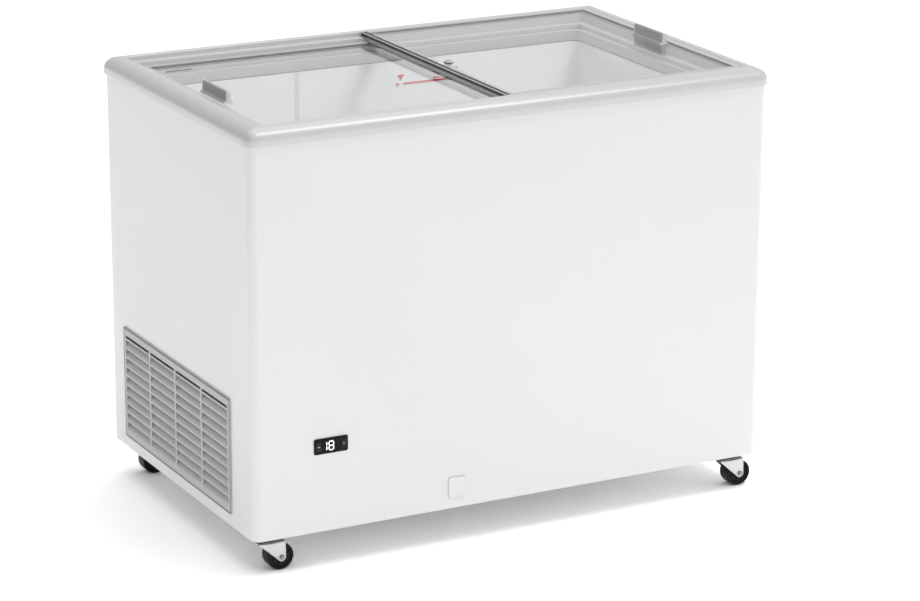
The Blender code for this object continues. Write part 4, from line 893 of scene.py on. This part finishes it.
# ---- casters
def build_caster(corner):
    """A bolted plate with its race, a pressed fork that swivels under it, and a wheel on an axle bolt."""
    plate, fork, axle, wheel = [f"{corner}_caster_{part}" for part in ("plate", "fork", "axle", "wheel")]
    swivel, spin = f"{corner}_fork", f"{corner}_wheel"
    p0, p1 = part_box(plate)
    px, py, top = middle(plate).x, middle(plate).y, p1.z
    centre = middle(wheel)

    bm = bmesh.new()
    prism(bm, rounded_rect(p0.x, p1.x, p0.y, p1.y, 0.005, 6), "Z", top - 0.0022, top)
    lathe(bm, [(0.0150, -0.0020), (0.0172, -0.0024), (0.0172, -0.0036), (0.0148, -0.0048), (0.0120, -0.0050)],
          (px, py, top), "Z", 48)
    for sx, sy in ((-1, -1), (-1, 1), (1, -1), (1, 1)):
        bolt = (px + sx * 0.0190, py + sy * 0.0190, top)
        lathe(bm, [(0.0040, -0.0021), (0.0040, -0.0048), (0.0034, -0.0054)], bolt, "Z", 6)
    add(f"{corner}_mount", bm, ZINC_DARK, "cabinet", (plate,), bevel=0.0003)
    # Painted shade: the near-black race ring stands for the shade in the gap under the plate.
    bm = bmesh.new()
    lathe(bm, [(0.0146, -0.0046), (0.0152, -0.0052), (0.0152, -0.0062), (0.0146, -0.0068), (0.0110, -0.0068),
               (0.0110, -0.0046)], (px, py, top), "Z", 48, closed=True)
    add(f"{corner}_race", bm, RACE_PAINTED_SHADE, "cabinet")

    f0, f1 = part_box(fork)
    ftop, leg_out = f1.z, (f1.y - f0.y) / 2
    leg_in = leg_out - 0.0020
    bm = bmesh.new()
    lathe(bm, [(0.0030, 0.0), (0.0128, 0.0), (0.0168, -0.0004), (0.0190, -0.0012), (0.0196, -0.0022),
               (0.0190, -0.0026), (0.0030, -0.0020)], (px, py, ftop), "Z", 48)
    flank = [(0.006, -0.0022), (0.0010, -0.0036), (0.0010, -0.0074), (0.006, -0.0062)]
    bridge = [(f0.x + d, ftop + z) for d, z in flank] + [(f1.x - d, ftop + z) for d, z in reversed(flank)]
    prism(bm, bridge, "Y", py - leg_out + 0.0012, py + leg_out - 0.0012)
    add(f"{corner}_crown", bm, CROWN, swivel, sharp=28)
    bm = bmesh.new()

    def leg(inset):
        left, right, up = f0.x + inset, f1.x - inset, ftop - 0.0046 - inset
        points = [(left, up), (left, up - 0.0016)]
        points += arc(centre.x, centre.z, 0.0080 - inset, 222, 360, 14)
        points += [(right, up - 0.0040), (right, up)]
        points += [(right + (left - right) * k / 8, up - 0.0016 * math.sin(math.pi * k / 8))
                   for k in range(1, 8)]
        return points
    for side in (-1, 1):
        face, inner = py + side * leg_out, py + side * leg_in
        rows = [[(x, inner, z) for x, z in leg(0.0)], [(x, face - side * 0.0003, z) for x, z in leg(0.0)],
                [(x, face, z) for x, z in leg(0.0004)], [(x, face, z) for x, z in leg(0.0016)],
                [(x, face - side * 0.0007, z) for x, z in leg(0.0023)]]
        stack(bm, rows)
    add(f"{corner}_yoke", bm, ZINC, swivel, (fork,), sharp=28)

    reach = (high(axle).y - low(axle).y) / 2
    bm = bmesh.new()
    lathe(bm, [(0.0036, -reach + 0.001), (0.0036, reach - 0.001)], (centre.x, py, centre.z), "Y", 20)
    for side in (-1, 1):
        base = side * (leg_out - 0.0006)
        lathe(bm, [(0.0047, base), (0.0047, base + side * 0.0008)], (centre.x, py, centre.z), "Y", 28)
        lathe(bm, [(0.0038, base + side * 0.0009), (0.0038, side * (reach - 0.0006)), (0.0033, side * reach)],
              (centre.x, py, centre.z), "Y", 6, phase=0.25)
    add(f"{corner}_bolt", bm, ZINC_DARK, swivel, (axle,), bevel=0.0002)

    bm = bmesh.new()
    r, h = (high(wheel).z - low(wheel).z) / 2, (low(wheel).y - high(wheel).y) / 2
    profile = [(0.0044, h + 0.0004), (0.0080, h + 0.0004), (0.0086, h + 0.0012), (0.0092, h + 0.0026),
               (r - 0.0068, h + 0.0026), (r - 0.0060, h + 0.0018), (r - 0.0054, h + 0.0006), (r - 0.0046, h),
               (r - 0.0030, h), (r - 0.0012, h + 0.0006), (r - 0.0003, h + 0.0018),
               (r - 0.00005, h + 0.0034), (r, -0.0008), (r, 0.0008)]
    profile += [(p, -a) for p, a in reversed(profile[:-2])]
    lathe(bm, profile, tuple(centre), "Y", 96, closed=True)
    for side in (-1, 1):
        for k in range(6):
            turn = math.pi / 3 * k + 0.3
            inner, outer, wide = 0.0086, r - 0.0062, 0.0009
            c, s = math.cos(turn), math.sin(turn)
            rib = [(centre.x + c * d - s * w, centre.z + s * d + c * w)
                   for d, w in ((inner, -wide), (outer, -wide), (outer, wide), (inner, wide))]
            y = centre.y - side * h
            prism(bm, rib, "Y", y - side * 0.0030, y - side * 0.0011)
    add(f"{corner}_roller", bm, TYRE, spin, (wheel,), sharp=32)


# ---- build everything
build_shell()
build_rear_panel()
build_tub()
build_rails()
build_lids()
build_lock()
build_grille()
build_controller()
build_drain_cover()
for corner in ("front_left", "front_right", "rear_left", "rear_right"):
    build_caster(corner)

CARRIED_OVER = {
    "base_pan": GALVANISED, "insulation_foam": FOAM, "control_module": PLASTIC_BLACK,
    "drain_tube": TUBE_WHITE, "compressor": ENAMEL, "compressor_rail": GALVANISED,
    "condenser_coil": STEEL, "evaporator_coil": COPPER, "fan_shroud": GALVANISED,
    "fan_motor": PLASTIC_BLACK, "fan_blade": PLASTIC_BLACK, "filter_drier": COPPER,
    "discharge_pipe": COPPER, "suction_pipe": COPPER,
}
for part, mat in CARRIED_OVER.items():
    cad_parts[part].data.materials.clear()
    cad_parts[part].data.materials.append(mat)


# ---- studio
WORLD_DIM, WORLD_BRIGHT = 0.38, 0.78
FLOOR_LAYERS = (0.92, 0.64)
# each lamp: name, place, point it faces, edge length in metres, power in watts
LAMPS = (("key", (1.9, -1.7, 5.2), (0, 0, 0.6), 1.8, 48.0),
         ("top", (0.0, 0.5, 5.0), (0, 0, 0.5), 5.0, 76.0))
CAMERA_LENS, CAMERA_SPOT = 133.04, (-2.806, -5.4102, 2.2067)
CAMERA_DOWN, CAMERA_TURN, CAMERA_ROLL = 16.909, -27.880, 0.218


def floor_material():
    """A bright seamless sweep: two diffuse layers, so the soft shadow stays light."""
    mat, tree = material_tree("floor_white")
    tree.nodes.clear()
    lower, upper = [node(tree, "BsdfDiffuse", {"Color": (tone, tone, tone, 1.0)}) for tone in FLOOR_LAYERS]
    total = node(tree, "AddShader", {0: lower.outputs["BSDF"], 1: upper.outputs["BSDF"]})
    node(tree, "OutputMaterial", {"Surface": total.outputs["Shader"]})
    return mat


def build_world():
    """A white surround, dimmer from the left, so the side of the cabinet is the darker face."""
    world = bpy.data.worlds.new("studio")
    world.use_nodes = True
    tree = world.node_tree
    coords = node(tree, "TexCoord", {})
    split = node(tree, "SeparateXYZ", {"Vector": coords.outputs["Generated"]})
    side = node(tree, "MapRange", {"Value": split.outputs["X"], "From Min": -0.85, "From Max": 0.35,
                                   "To Min": WORLD_DIM, "To Max": WORLD_BRIGHT},
                interpolation_type="SMOOTHSTEP")
    connect(tree, tree.nodes["Background"], {"Color": (1.0, 1.0, 1.0, 1.0),
                                             "Strength": side.outputs["Result"]})
    scene.world = world


def build_studio():
    bpy.ops.mesh.primitive_plane_add(size=60)
    floor = bpy.context.object
    floor.name = "floor"
    floor.data.materials.append(floor_material())
    build_world()
    for name, spot, aim, size, power in LAMPS:
        lamp = bpy.data.lights.new(name, "AREA")
        lamp.shape = "SQUARE"
        lamp.size = size
        lamp.energy = power
        obj = bpy.data.objects.new(name, lamp)
        obj.location = spot
        obj.rotation_euler = (Vector(aim) - Vector(spot)).to_track_quat("-Z", "Y").to_euler()
        scene.collection.objects.link(obj)
    camera = bpy.data.objects.new("camera", bpy.data.cameras.new("camera"))
    camera.data.lens = CAMERA_LENS
    camera.data.sensor_width = 36.0
    camera.location = CAMERA_SPOT
    aim = Euler((math.radians(90 - CAMERA_DOWN), 0.0, math.radians(CAMERA_TURN))).to_matrix()
    camera.rotation_euler = (aim @ Matrix.Rotation(math.radians(CAMERA_ROLL), 3, "Z")).to_euler()
    scene.collection.objects.link(camera)
    scene.camera = camera
    scene.view_settings.view_transform = "Standard"


build_studio()
